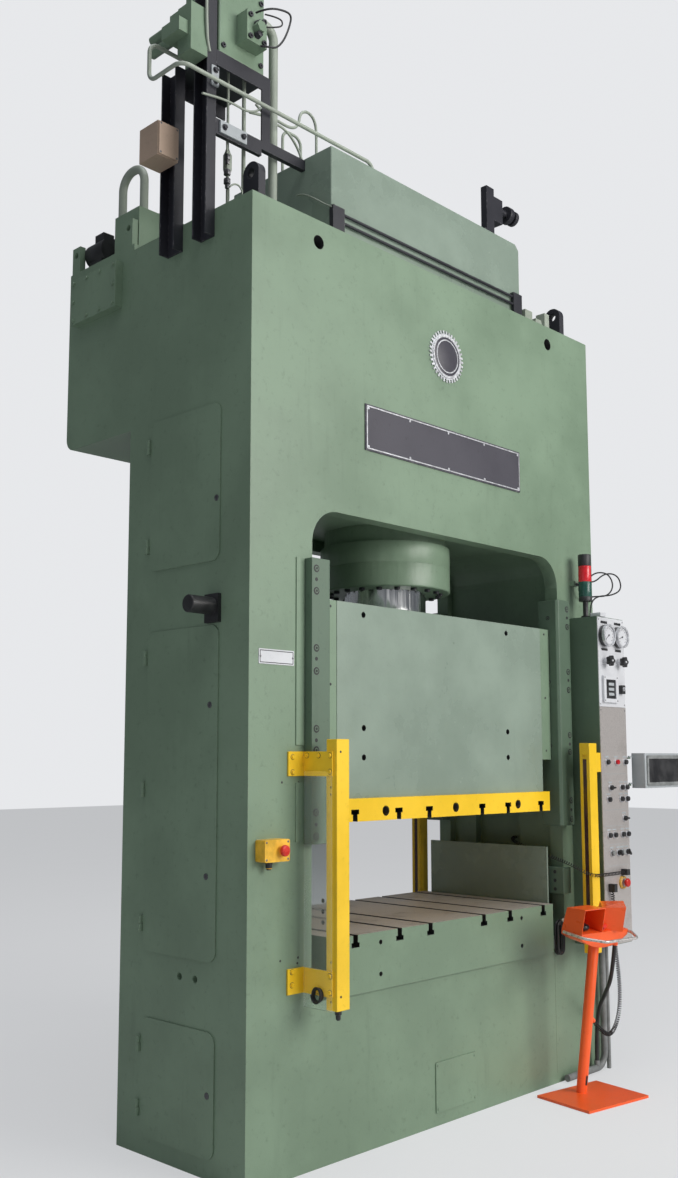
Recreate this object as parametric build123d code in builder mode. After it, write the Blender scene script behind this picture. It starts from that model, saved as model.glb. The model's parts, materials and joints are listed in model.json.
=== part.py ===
from build123d import *
import os
from math import cos, radians, sin, tan

# A two-column hydraulic press with its controls, light-curtain posts and two-hand stand.
# Millimetres. X runs along the front, Y to the back, Z up.
# The origin is on the floor under the centre of the press frame.

os.makedirs("parts", exist_ok=True)

# Press frame: one welded window frame with a closed bed
frame_width = 2500
frame_depth = 810
frame_height = 3910
bed_height = 637
window_width = 1810
window_top = 2643
window_corner = 150
plate_thickness = 75
relief_side = 40
relief_top = 57
crown_hole_radius = 30.5
crown_hole_set_in = 382
crown_hole_drop = 99
pocket_depth = 45
pocket_y = (-110, 182)
pocket_rise = (463, 673)

# Table and slide, with T-slots that run front to back
table_side_gap = 125
table_depth = 840
table_height = 238
slide_side_gap = 85
slide_depth = 794
slide_body_height = 831
slide_plate_overhang = 24
slide_plate_depth = 840
slide_plate_height = 96
daylight = 463
slot_neck = 28
slot_head = 48
slot_head_height = 20
slot_depth = 50
slot_offset = 15
slot_edge = 100
slot_shares = (-1, -0.5912, -0.2868, 0.2868, 0.5912, 1)
plate_hole_radius = 22
plate_hole_depth = 120
plate_hole_shares = (-0.61, 0.014, 0.645)
plate_hole_height = 40
slide_hole_radius = 13
slide_hole_depth = 40
slide_hole_insets = (165, 294)
slide_hole_rises = (784, 296, 171)
table_hole_radius = 10
table_hole_inset = 270
table_hole_drops = (44, 175)
side_hole_radius = 15
side_hole_rise = 98
side_hole_places = (-1, -98)

# Guides
gib_width = 115
gib_flange = 45
gib_drop = 78
gib_height = 1160
gib_chamfer = 12
stop_block_rise = (45, 175)
shoe_width = 130
shoe_depth = 100
shoe_start = 160
guide_gap = 0.5

# Guard panel on the inside of the right column
guard_gap = 14
guard_thickness = 12
guard_length = 760
guard_height = 516
guard_foot = 60

# Main cylinder
piston_radius = 200
piston_head_room = 130
fit_gap = 0.05
cylinder_radius = 300
flange_radius = 320
flange_height = 102
gland_height = 114
gland_clearance = 139
crown_cover = 430
cylinder_cap = 100
bore_gap = 0.5

# Crown box, lugs and thin pipes
crown_box_set_in = 530
crown_box_depth = 670
crown_box_height = 430
crown_box_chamfer = 30
lug_set_in = 120
lug_radius = 50
lug_height = 205
lug_thickness = 40
lug_centre_y = -279
lug_hole_radius = 22
crown_pipe_rise = (78, 118)
crown_pipe_diameter = 14
clamp_width = 74
clamp_height = 140
clamp_depth = 24

# Oil tank behind the crown
tank_depth = 520
tank_drop = 850
tank_height = 880
tank_corner = 60
tank_cover_width = 361
tank_cover_height = 220
tank_cover_thickness = 40
tank_cover_y = 672
tank_cover_drop = 172
eye_thickness = 30
eye_height = 130

# Side doors on the left column
door_width = 467
door_centre_y = 8
door_levels = ((74, 547), (810, 2137), (2400, 3060))
door_names = ("lower_door", "middle_door", "upper_door")
door_hinge_counts = (2, 3, 2)
door_thickness = 5
door_gap = 0.5
door_corner = 45
door_lap = 22
door_rim_depth = 20
door_rim_thickness = 4
door_rim_gap = 4
cavity_wall = 25
hinge_radius = 9
hinge_pin_radius = 4
hinge_half = 32
hinge_set_in = 110
hinge_offset = 12
hinge_stand_off = 10.5

# Hydraulic tower at the top left
post_depth = 52
post_flange = 8
front_post_y = -167
front_post_width = 90
rear_post_y = 48
rear_post_width = 103
post_drop = 123
platform_rise = 650
platform_thickness = 70
platform_length = 312
platform_depth = 318
strut_width = 50
strut_bar_rise = 395
manifold_width = 262
manifold_depth = 240
manifold_height = 380
pipe_diameter = 18
riser_diameter = 42

# Light-curtain posts
light_post_width = 71
light_post_depth = 58
light_post_bottom = 635
light_post_height = 1042
light_post_set_out = 10
light_post_stand_off = 128
light_slot_width = 22
light_slot_depth = 6
bracket_levels = (735, 1580)
bracket_height = 98
bracket_flange = 92
bracket_thickness = 8
bracket_overlap = 40
screen_thickness = 5

# Name plate and badge, set out in the height between the window and the top
name_plate_width = 1164
name_plate_share = 0.3252
name_plate_height_share = 0.1657
badge_share = 0.6914

# Control cabinet on the right column
cabinet_width = 260
cabinet_depth = 176
cabinet_bottom = 655
cabinet_height = 1682
cabinet_post_gap = 49
panel_seam = 1866
panel_thickness = 4
gauge_radius = 56
gauge_depth = 34
gauge_spacing = 134
gauge_height = 2238
knob_radius = 26
knob_height = 2105
fitting_length = 24
spindle_radius = 5
spindle_length = 26
button_radius = 12
button_length = 16
button_rows = ((1581, (-75, 17, 102)), (1450, (-48, 59, 107)), (1390, (-68, 55, 109)), (1290, (80,)),
               (1208, (-73, -21, 57, 107)), (1117, (-51, 10, 50, 95)))
stop_button_radius = 22
stop_button_travel = 6
stop_stem_radius = 10
stop_stem_length = 8
stop_cap_height = 14
stop_gap = 0.3
stop_collar_radius = 30
stop_collar_height = 10

# Operator screen box
screen_box_width = 400
screen_box_depth = 82
screen_box_height = 183
screen_box_bottom = 1444
screen_box_gap = 40
screen_hinge_gap = 20

# Two-hand control stand
stand_x = 712
stand_y = -667
stand_turn = -9
stand_lean = 8.1
stand_base_width = 420
stand_base_depth = 320
stand_base_thickness = 12
stand_tube_diameter = 51
stand_tube_set_back = 70
stand_tube_length = 712
head_width = 330
head_depth = 125
tray_depth = 74
hood_width = 145
hood_height = 118
hood_wall = 3
hood_turn = 45
tray_edge = 24
hose_gland_place = (148, -5)
hose_gland_radius = 15
hose_gland_length = 62
hose_diameter = 20
cord_gland_height = 375
cord_gland_radius = 11
cord_gland_length = 55
cord_diameter = 22
pocket_cord_diameter = 14
signal_cable_diameter = 8
signal_gland_x = 1030
signal_gland_y = -417
signal_gland_z = 2528
gland_tip = 1098
palm_radius = 29
palm_height = 26
palm_travel = 6
rail_diameter = 14

# Faces that the other pieces are placed from
front_y = -frame_depth / 2
back_y = frame_depth / 2
left_x = -frame_width / 2
right_x = frame_width / 2
table_top = bed_height + table_height
table_width = window_width - 2 * table_side_gap
slide_width = window_width - 2 * (gib_width - gib_flange + slide_side_gap)
slide_plate_width = slide_width + 2 * slide_plate_overhang
slide_plate_bottom = table_top + daylight
slide_bottom = slide_plate_bottom + slide_plate_height
slide_top = slide_bottom + slide_body_height
gland_bottom = slide_top + gland_clearance
flange_bottom = gland_bottom + gland_height
cylinder_top = frame_height - crown_cover
piston_length = cylinder_top - cylinder_cap - piston_head_room - slide_top
window_side = window_width / 2
cavity_depth = right_x - window_side - relief_side - cavity_wall
slots_x = [slot_offset + share * (table_width / 2 - slot_edge) for share in slot_shares]
plate_holes_x = [share * slide_plate_width / 2 for share in plate_hole_shares]
slide_holes_x = (slide_hole_insets[0] - slide_width / 2, slide_width / 2 - slide_hole_insets[1])
slide_holes_z = [slide_bottom + rise for rise in slide_hole_rises]
side_hole_level = bed_height + side_hole_rise
header_height = frame_height - window_top
badge_place = (-5, window_top + badge_share * header_height)
crown_hole_x = right_x - crown_hole_set_in
crown_hole_height = frame_height - crown_hole_drop
pocket_z = [bed_height + rise for rise in pocket_rise]
gib_bottom = slide_plate_bottom - gib_drop
stop_block_z = [table_top + rise for rise in stop_block_rise]
lug_x = right_x - lug_set_in
crown_box_width = frame_width - 2 * crown_box_set_in
light_post_x = window_side + light_post_set_out
cabinet_x = light_post_x + 36 + cabinet_post_gap
screen_hinge_x = cabinet_x + cabinet_width + screen_hinge_gap
screen_box_x = cabinet_x + cabinet_width + screen_box_gap
tank_bottom = frame_height - tank_drop
tank_cover_z = tank_bottom + tank_height - tank_cover_drop
post_bottom = frame_height - post_drop
platform_height = frame_height + platform_rise
strut_bar_height = frame_height + strut_bar_rise


def block(x_range, y_range, z_range, mode=Mode.ADD):
    """Add or cut one box between two corners in the part being built."""
    centre = [(low + high) / 2 for low, high in (x_range, y_range, z_range)]
    size = [high - low for low, high in (x_range, y_range, z_range)]
    with Locations(tuple(centre)):
        Box(*size, mode=mode)


def save(builder, name):
    """Label a finished piece and write it."""
    builder.part.label = name
    export_step(builder.part, f"parts/{name}.step")


def tube(points, diameter, bends):
    """One bent tube: straight runs joined by tangent arcs."""
    with BuildPart() as run:
        with BuildLine() as route:
            FilletPolyline(*points, radius=bends)
        wire = route.wires()[0]
        with BuildSketch(Plane(origin=wire @ 0, z_dir=wire % 0)):
            Circle(diameter / 2)
        sweep(path=wire)
    return run.part


def cord_bends(name, points):
    """Print and return the largest arc that each corner of a cord's route allows."""
    bends = []
    for before, corner, after in zip(points, points[1:], points[2:]):
        run_in = Vector(corner) - Vector(before)
        run_out = Vector(after) - Vector(corner)
        half_turn = radians(run_in.get_angle(run_out)) / 2
        bends.append(0.45 * min(run_in.length, run_out.length) / tan(half_turn))
    print(name, "bend radii", [round(bend) for bend in bends])
    return bends


def slot_profile(open_face_z, direction):
    """Cut the T-slot outlines into a plate's front outline, opening up (+1) or down (-1)."""
    mouth = (Align.CENTER, Align.MAX if direction > 0 else Align.MIN)
    floor = (Align.CENTER, Align.MIN if direction > 0 else Align.MAX)
    with Locations(*[(x, open_face_z) for x in slots_x]):
        Rectangle(slot_neck, slot_depth, align=mouth, mode=Mode.SUBTRACT)
    with Locations(*[(x, open_face_z - direction * slot_depth) for x in slots_x]):
        Rectangle(slot_head, slot_head_height, align=floor, mode=Mode.SUBTRACT)


# Press frame
door_low_y = door_centre_y - door_width / 2
door_high_y = door_centre_y + door_width / 2
hinge_y = door_high_y + hinge_offset
hinge_x = left_x - hinge_stand_off


def hinge_heights(level, count):
    """Middle heights of the hinges of one door."""
    low = level[0] + hinge_set_in
    high = level[1] - hinge_set_in
    return [low + (high - low) * i / (count - 1) for i in range(count)]


pocket_floor = window_side + relief_side + pocket_depth
with BuildPart() as press_frame:
    with BuildSketch(Plane.XZ.offset(-back_y)):
        Rectangle(frame_width, frame_height, align=(Align.CENTER, Align.MIN))
    extrude(amount=frame_depth)
    with BuildSketch(Plane.XZ.offset(-back_y)) as window:
        with Locations((0, bed_height)):
            Rectangle(window_width, window_top - bed_height, align=(Align.CENTER, Align.MIN))
        fillet(window.vertices().group_by(Axis.Y)[-1], window_corner)
    extrude(amount=frame_depth, mode=Mode.SUBTRACT)
    with BuildSketch(Plane.XZ.offset(-(back_y - plate_thickness))) as relief:
        with Locations((0, bed_height)):
            Rectangle(window_width + 2 * relief_side, window_top + relief_top - bed_height,
                      align=(Align.CENTER, Align.MIN))
        fillet(relief.vertices().group_by(Axis.Y)[-1], window_corner)
    extrude(amount=frame_depth - 2 * plate_thickness, mode=Mode.SUBTRACT)
    with BuildSketch(Plane.XY.offset(cylinder_top)):
        Circle(cylinder_radius + bore_gap)
    extrude(amount=window_top - cylinder_top, mode=Mode.SUBTRACT)
    with Locations(*[Location((side * crown_hole_x, front_y, crown_hole_height), (90, 0, 0))
                     for side in (-1, 1)]):
        Hole(crown_hole_radius, plate_thickness)
    with Locations(*[Location((left_x, y, side_hole_level), (0, -90, 0)) for y in side_hole_places]):
        Hole(side_hole_radius, slide_hole_depth)
    block((window_side + relief_side, pocket_floor), pocket_y, pocket_z, Mode.SUBTRACT)
    for low, high in door_levels:
        with BuildSketch(Plane.YZ.offset(left_x)):
            with Locations((door_centre_y, (low + high) / 2)):
                RectangleRounded(door_width - 2 * door_lap, high - low - 2 * door_lap,
                                 door_corner - door_lap)
        extrude(amount=cavity_depth, mode=Mode.SUBTRACT)
    for level, count in zip(door_levels, door_hinge_counts):
        for z in hinge_heights(level, count):
            block((hinge_x, left_x), (hinge_y - hinge_radius, hinge_y + hinge_radius),
                  (z - hinge_half, z))
            with BuildSketch(Plane.XY.offset(z - hinge_half)):
                with Locations((hinge_x, hinge_y)):
                    Circle(hinge_radius)
            extrude(amount=hinge_half)
            with BuildSketch(Plane.XY.offset(z)):
                with Locations((hinge_x, hinge_y)):
                    Circle(hinge_pin_radius)
            extrude(amount=hinge_half)
    block((signal_gland_x, signal_gland_x + 20), (signal_gland_y - 12, front_y),
          (signal_gland_z - 12, signal_gland_z + 12))
    with BuildSketch(Plane.YZ.offset(signal_gland_x + 20)):
        with Locations((signal_gland_y, signal_gland_z)):
            Circle(8)
    extrude(amount=gland_tip - signal_gland_x - 20)
save(press_frame, "press_frame")

# Doors: a leaf with a folded rim that enters the opening, and knuckles over the hinge pins
for name, (low, high), count in zip(door_names, door_levels, door_hinge_counts):
    leaf_back = left_x - door_gap
    rim_width = door_width - 2 * (door_lap + door_rim_gap)
    rim_height = high - low - 2 * (door_lap + door_rim_gap)
    with BuildPart() as door:
        with BuildSketch(Plane.YZ.offset(leaf_back - door_thickness)):
            with Locations((door_centre_y, (low + high) / 2)):
                RectangleRounded(door_width, high - low, door_corner)
        extrude(amount=door_thickness)
        with BuildSketch(Plane.YZ.offset(leaf_back)):
            with Locations((door_centre_y, (low + high) / 2)):
                RectangleRounded(rim_width, rim_height, door_corner - door_lap - door_rim_gap)
                RectangleRounded(rim_width - 2 * door_rim_thickness, rim_height - 2 * door_rim_thickness,
                                 door_corner - door_lap - 2 * door_rim_gap, mode=Mode.SUBTRACT)
        extrude(amount=door_rim_depth)
        for z in hinge_heights((low, high), count):
            block((leaf_back - door_thickness, leaf_back), (door_high_y, hinge_y),
                  (z + door_gap, z + hinge_half))
            with BuildSketch(Plane.XY.offset(z + door_gap)):
                with Locations((hinge_x, hinge_y)):
                    Circle(hinge_radius)
            extrude(amount=hinge_half - door_gap)
            with BuildSketch(Plane.XY.offset(z)):
                with Locations((hinge_x, hinge_y)):
                    Circle(hinge_pin_radius + fit_gap)
            extrude(amount=hinge_half, mode=Mode.SUBTRACT)
    save(door, name)

# Guard panel on the inside of the right column
guard_x = table_width / 2 + guard_gap
guard_back = guard_x + guard_thickness
guard_y = guard_length / 2
with BuildPart() as column_guard:
    block((guard_x, guard_back), (-guard_y, guard_y), (bed_height, bed_height + guard_height))
    block((guard_back, window_side), (-guard_y, guard_y), (bed_height, bed_height + guard_foot))
save(column_guard, "column_guard")

# Table plate
with BuildPart() as table_plate:
    with BuildSketch(Plane.XZ.offset(-table_depth / 2)):
        with Locations((0, bed_height)):
            Rectangle(table_width, table_height, align=(Align.CENTER, Align.MIN))
        slot_profile(table_top, 1)
    extrude(amount=table_depth)
    with Locations(*[Location((side * (table_width / 2 - table_hole_inset), -table_depth / 2, table_top - drop), (90, 0, 0))
                     for side in (-1, 1) for drop in table_hole_drops]):
        Hole(table_hole_radius, slide_hole_depth)
save(table_plate, "table_plate")

# Inspection cover low on the bed
with BuildPart() as inspection_cover:
    with BuildSketch(Plane.XZ.offset(-front_y)):
        with Locations((5, 162)):
            RectangleRounded(290, 213, 8)
    extrude(amount=5)
save(inspection_cover, "inspection_cover")

# Slide body, with tapped holes in its front
slide_front = -slide_depth / 2
with BuildPart() as slide_body:
    with BuildSketch(Plane.XY.offset(slide_bottom)):
        Rectangle(slide_width, slide_depth)
    extrude(amount=slide_body_height)
    with Locations(*[Location((x, slide_front, z), (90, 0, 0)) for x in slide_holes_x for z in slide_holes_z]):
        Hole(slide_hole_radius, slide_hole_depth)
save(slide_body, "slide_body")

# Slide plate with T-slots that open downwards
with BuildPart() as slide_plate:
    with BuildSketch(Plane.XZ.offset(-slide_plate_depth / 2)):
        with Locations((0, slide_plate_bottom)):
            Rectangle(slide_plate_width, slide_plate_height, align=(Align.CENTER, Align.MIN))
        slot_profile(slide_plate_bottom, -1)
    extrude(amount=slide_plate_depth)
    with Locations(*[Location((x, -slide_plate_depth / 2, slide_plate_bottom + plate_hole_height), (90, 0, 0))
                     for x in plate_holes_x]):
        Hole(plate_hole_radius, plate_hole_depth)
save(slide_plate, "slide_plate")

# Guide shoes on the slide's four corners, running behind the gibs
gib_back = frame_depth / 2 - plate_thickness
with BuildPart() as slide_shoes:
    for side in (-1, 1):
        for end in (-1, 1):
            inner_x = side * slide_width / 2
            outer_x = inner_x + side * shoe_width
            outer_y = end * (gib_back - guide_gap)
            inner_y = outer_y - end * shoe_depth
            block(sorted((inner_x, outer_x)), sorted((inner_y, outer_y)), (slide_bottom + shoe_start, slide_top))
save(slide_shoes, "slide_shoes")

# Gibs: angle-shaped guide rails bolted on the window's front and rear edges
gib_inner_x = window_side - (gib_width - gib_flange)
for end, name in ((-1, "gibs_front"), (1, "gibs_rear")):
    face_y = end * frame_depth / 2
    proud_y = face_y + end * gib_flange
    hidden_y = face_y - end * plate_thickness
    with BuildPart() as gibs:
        for side in (-1, 1):
            outline = [(gib_inner_x, hidden_y), (gib_inner_x, proud_y - end * gib_chamfer),
                       (gib_inner_x + gib_chamfer, proud_y), (window_side + gib_flange, proud_y),
                       (window_side + gib_flange, face_y), (window_side, face_y), (window_side, hidden_y)]
            with BuildSketch(Plane.XY.offset(gib_bottom)):
                Polygon(*[(side * x, y) for x, y in outline], align=None)
            extrude(amount=gib_height)
        if end < 0:
            block((gib_inner_x, window_side), (proud_y, hidden_y), stop_block_z)
    save(gibs, name)

# Main cylinder, gland ring and piston
with BuildPart() as cylinder:
    with BuildSketch(Plane.XZ):
        with BuildLine():
            Polyline((piston_radius + fit_gap, flange_bottom), (flange_radius, flange_bottom),
                     (flange_radius, flange_bottom + flange_height),
                     (cylinder_radius, flange_bottom + flange_height), (cylinder_radius, cylinder_top),
                     (0, cylinder_top), (0, cylinder_top - cylinder_cap),
                     (piston_radius + fit_gap, cylinder_top - cylinder_cap), close=True)
        make_face()
    revolve(axis=Axis.Z)
save(cylinder, "cylinder")

with BuildPart() as gland_ring:
    with BuildSketch(Plane.XY.offset(gland_bottom)):
        Circle(flange_radius)
        Circle(piston_radius + fit_gap, mode=Mode.SUBTRACT)
    extrude(amount=gland_height)
    fillet(gland_ring.edges().filter_by(GeomType.CIRCLE).group_by(Axis.Z)[0].sort_by(SortBy.RADIUS)[-1], 8)
save(gland_ring, "gland_ring")

with BuildPart() as piston:
    with BuildSketch(Plane.XY.offset(slide_top)):
        Circle(piston_radius)
    extrude(amount=piston_length)
save(piston, "piston")

# Crown box with a chamfered right edge
with BuildPart() as crown_box:
    with BuildSketch(Plane.XY.offset(frame_height)):
        Rectangle(crown_box_width, crown_box_depth)
    extrude(amount=crown_box_height)
    chamfer(crown_box.faces().sort_by(Axis.Z)[-1].edges().sort_by(Axis.X)[-1], crown_box_chamfer)
save(crown_box, "crown_box")
crown_top = frame_height + crown_box_height

# Two thin pipes along the crown box, held by a clamp block at each end
clamp_x = (clamp_width / 2 - 12 - crown_box_width / 2, crown_box_width / 2 - 51)
crown_front = -crown_box_depth / 2
pipe_y = crown_front - clamp_depth / 2
with BuildPart() as pipe_clamps:
    for x in clamp_x:
        block((x - clamp_width / 2, x + clamp_width / 2), (crown_front - clamp_depth, crown_front),
              (frame_height, frame_height + clamp_height))
thin_pipes = []
for rise in crown_pipe_rise:
    with BuildPart() as thin_pipe:
        with BuildSketch(Plane.YZ.offset(clamp_x[0] + clamp_width / 2)):
            with Locations((pipe_y, frame_height + rise)):
                Circle(crown_pipe_diameter / 2)
        extrude(amount=clamp_x[1] - clamp_x[0] - clamp_width)
    thin_pipes.append(thin_pipe.part)
fitting_y = front_y + 100
fitting_spans = ((52, 118), (150, 205), (235, 278))
fitting_heights = (95, 70, 123)
box_side_x = crown_box_width / 2
with BuildPart() as crown_fittings:
    for (start, end), height in zip(fitting_spans, fitting_heights):
        block((box_side_x + start, box_side_x + end), (fitting_y - 28, fitting_y + 28), (frame_height, frame_height + height))
    with BuildSketch(Plane.YZ.offset(box_side_x + fitting_spans[0][1])):
        with Locations((fitting_y, frame_height + 45)):
            Circle(15)
    extrude(amount=fitting_spans[2][0] - fitting_spans[0][1])
with BuildPart() as crown_pipes:
    add(pipe_clamps.part)
    add(crown_fittings.part)
    add(thin_pipes)
save(crown_pipes, "crown_pipes")

# Lifting lugs: half-round plates welded on the crown
with BuildPart() as lifting_lugs:
    for side in (-1, 1):
        with BuildSketch(Plane.YZ.offset(side * lug_x - lug_thickness / 2)):
            with Locations((lug_centre_y, frame_height + lug_height - lug_radius)):
                Circle(lug_radius)
            with Locations((lug_centre_y, frame_height)):
                Rectangle(2 * lug_radius, lug_height - lug_radius, align=(Align.CENTER, Align.MIN))
            with Locations((lug_centre_y, frame_height + lug_height - lug_radius)):
                Circle(lug_hole_radius, mode=Mode.SUBTRACT)
        extrude(amount=lug_thickness)
save(lifting_lugs, "lifting_lugs")

# Oil tank behind the crown, with a lifting eye and a lug welded on
tank_top = tank_bottom + tank_height
with BuildPart() as rear_tank:
    with BuildSketch(Plane.YZ.offset(left_x)) as tank_side:
        with Locations((back_y, tank_bottom)):
            Rectangle(tank_depth, tank_height, align=(Align.MIN, Align.MIN))
        fillet(tank_side.vertices().sort_by(Axis.Y)[:2].sort_by(Axis.X)[-1], tank_corner)
    extrude(amount=frame_width)
    for y in (back_y + 50, back_y + tank_depth - 45):
        block((left_x, left_x + eye_thickness), (y - 32, y + 32), (tank_top, tank_top + eye_height))
        with BuildSketch(Plane.YZ.offset(left_x)):
            with Locations((y, tank_top + eye_height - 40)):
                Circle(15)
        extrude(amount=eye_thickness, mode=Mode.SUBTRACT)
save(rear_tank, "rear_tank")

with BuildPart() as tank_cover:
    with BuildSketch(Plane.YZ.offset(left_x - tank_cover_thickness)):
        with Locations((tank_cover_y, tank_cover_z)):
            Rectangle(tank_cover_width, tank_cover_height)
    extrude(amount=tank_cover_thickness)
save(tank_cover, "tank_cover")

# Pump block and its motor on the tank
pump_x = (left_x + 34, left_x + 300)
pump_height = 200
pump_y = (back_y + 15, back_y + 205)
motor_x = left_x + 75
motor_y = (back_y + 285, back_y + 425)
motor_radius = 62
with BuildPart() as pump_block:
    block(pump_x, pump_y, (tank_top, tank_top + pump_height))
    with BuildSketch(Plane.XY.offset(tank_top + pump_height)):
        with Locations((pump_x[1] - 75, sum(pump_y) / 2)):
            Circle(55)
    extrude(amount=35)
save(pump_block, "pump_block")

with BuildPart() as pump_motor:
    with BuildSketch(Plane.XZ.offset(-motor_y[0])):
        with Locations((motor_x, tank_top + 20 + motor_radius)):
            Circle(motor_radius)
    extrude(amount=-(motor_y[1] - motor_y[0]))
    block((motor_x - 45, motor_x + 45), (motor_y[0] + 20, motor_y[1] - 20), (tank_top, tank_top + 40))
    block((motor_x - 30, motor_x + 30), (motor_y[0] + 30, motor_y[1] - 40), (tank_top + 130, tank_top + 175))
save(pump_motor, "pump_motor")

# Hydraulic tower: two channel posts that are open towards the left, bolted to the column
platform_top = platform_height + platform_thickness
with BuildPart() as tower_posts:
    for low_y, width, top in ((front_post_y, front_post_width, platform_top + manifold_height),
                              (rear_post_y, rear_post_width, platform_top)):
        with BuildSketch(Plane.XY.offset(post_bottom)):
            with Locations((left_x - post_depth, low_y)):
                Rectangle(post_depth, width, align=(Align.MIN, Align.MIN))
            with Locations((left_x - post_depth, low_y + post_flange)):
                Rectangle(post_depth - post_flange, width - 2 * post_flange,
                          align=(Align.MIN, Align.MIN), mode=Mode.SUBTRACT)
        extrude(amount=top - post_bottom)
save(tower_posts, "tower_posts")

platform_y = front_post_y
with BuildPart() as tower_platform:
    with BuildSketch(Plane.YZ.offset(left_x)):
        with Locations((platform_y, platform_height)):
            Rectangle(platform_depth, platform_thickness, align=(Align.MIN, Align.MIN))
        with Locations((platform_y + post_flange, platform_height)):
            Rectangle(platform_depth - 2 * post_flange, platform_thickness - post_flange,
                      align=(Align.MIN, Align.MIN), mode=Mode.SUBTRACT)
    extrude(amount=platform_length)
    strut_x = left_x + platform_length
    block((strut_x - strut_width, strut_x), (platform_y, platform_y + post_flange),
          (strut_bar_height - strut_width / 2, platform_height))
    block((strut_x - strut_width, -crown_box_width / 2), (platform_y, platform_y + strut_width / 2),
          (strut_bar_height - strut_width / 2, strut_bar_height - strut_width / 2 + post_flange))
    block((strut_x - strut_width, -crown_box_width / 2), (platform_y, platform_y + post_flange),
          (strut_bar_height - strut_width / 2, strut_bar_height + strut_width / 2))
    block((left_x, strut_x - strut_width), (platform_y, platform_y + 20), (strut_bar_height - 57, strut_bar_height + 13))
save(tower_platform, "tower_platform")

# Valve manifold on the platform
manifold_x = (left_x + 12, left_x + 12 + manifold_width)
manifold_y = (platform_y, platform_y + manifold_depth)
manifold_z = (platform_top, platform_top + manifold_height)
with BuildPart() as valve_manifold:
    block(manifold_x, manifold_y, manifold_z)
    chamfer(valve_manifold.edges().filter_by(Axis.Z), 6)
save(valve_manifold, "valve_manifold")

# Valves: a relief valve on the manifold's front, a block on the front post and its solenoids
relief_x = (left_x + 110, left_x + 225)
relief_z = (platform_top + 70, platform_top + 210)
relief_depth = 70
block_x = (left_x - post_depth - 90, left_x - post_depth)
block_z = (platform_top - 60, platform_top + 156)
block_back_y = front_post_y + front_post_width
solenoid_radius = 21
solenoid_x = left_x - 120
solenoid_y = -20
solenoid_length = 150
solenoids_z = (platform_top + 52, platform_top + 112)
with BuildPart() as valve_bank:
    block(relief_x, (platform_y - relief_depth, platform_y), relief_z)
    with BuildSketch(Plane.XZ.offset(-(platform_y - relief_depth))):
        with Locations((sum(relief_x) / 2, sum(relief_z) / 2)):
            RegularPolygon(26, 6)
    extrude(amount=34)
    block(block_x, (front_post_y, block_back_y), block_z)
    block((block_x[0] - 50, block_x[0]), (front_post_y + 17, block_back_y + 47), (platform_top + 10, platform_top + 70))
    block((block_x[0], block_x[1] - 20), (block_back_y, solenoid_y), (platform_top + 20, platform_top + 150))
    with BuildSketch(Plane.XZ.offset(-solenoid_y)):
        with Locations(*[(solenoid_x, z) for z in solenoids_z]):
            Circle(solenoid_radius)
    extrude(amount=-solenoid_length)
save(valve_bank, "valve_bank")

# Junction box on the outside of the rear post
with BuildPart() as junction_box:
    block((left_x - post_depth - 110, left_x - post_depth), (rear_post_y - 23, rear_post_y + 107),
          (post_bottom + 378, post_bottom + 533))
save(junction_box, "junction_box")

# Rigid oil pipes round the tower
long_pipe_y = platform_y - 38
long_pipe_z = crown_top + 120
long_pipe_end = left_x - 220
pipe_bend = 45
line_y = platform_y + 62
inlet_y = manifold_y[1] - 58
inlet_z = platform_top + 10
riser_x = left_x + 385
drain_x = left_x + 210
coupling_x = left_x + 118
loop_x = (-crown_box_width / 2 + 70, -crown_box_width / 2 + 190)
loop_y = 60
arch_x = left_x + 100
arch_y = back_y + 241
arch_top = tank_top + 445
pipe_routes = (
    (((-300, long_pipe_y, crown_top), (-300, long_pipe_y, long_pipe_z), (long_pipe_end, long_pipe_y, long_pipe_z),
      (long_pipe_end, inlet_y, long_pipe_z), (long_pipe_end, inlet_y, inlet_z),
      (manifold_x[0], inlet_y, inlet_z)), pipe_diameter, pipe_bend),
    (((riser_x, line_y, frame_height), (riser_x, line_y, platform_top + 300), (manifold_x[1], line_y, platform_top + 300)),
     riser_diameter, 60),
    (((drain_x, line_y, frame_height), (drain_x, line_y, platform_top - post_flange)), pipe_diameter, 0),
    (((loop_x[0], loop_y, crown_top), (loop_x[0], loop_y, crown_top + 260), (loop_x[1], loop_y, crown_top + 260),
      (loop_x[1], loop_y, crown_top)), 14, pipe_bend),
    (((arch_x, arch_y, tank_top), (arch_x, arch_y, arch_top), (arch_x, arch_y - 170, arch_top),
      (arch_x, arch_y - 170, tank_top + pump_height)), 40, 80),
)
with BuildPart() as pipe_coupling:
    with BuildSketch(Plane.XZ.offset(-line_y)):
        with BuildLine():
            coupling = ((6, 210), (13, 220), (19, 240), (19, 305), (12, 320), (6, 340))
            Polyline((0, frame_height), (6, frame_height), *[(r, frame_height + rise) for r, rise in coupling],
                     (6, platform_top - post_flange), (0, platform_top - post_flange), close=True)
        make_face()
    revolve(axis=Axis((0, line_y, 0), (0, 0, 1)))
pipe_parts = []
for points, diameter, bend in pipe_routes:
    if bend:
        pipe_parts.append(tube(points, diameter, bend))
    else:
        with BuildPart() as straight:
            with BuildSketch(Plane.XY.offset(points[0][2])):
                with Locations(points[0][:2]):
                    Circle(diameter / 2)
            extrude(amount=points[1][2] - points[0][2])
        pipe_parts.append(straight.part)
with BuildPart() as oil_pipes:
    add(pipe_parts)
    with Locations((coupling_x, 0, 0)):
        add(pipe_coupling.part)
save(oil_pipes, "oil_pipes")

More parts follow.
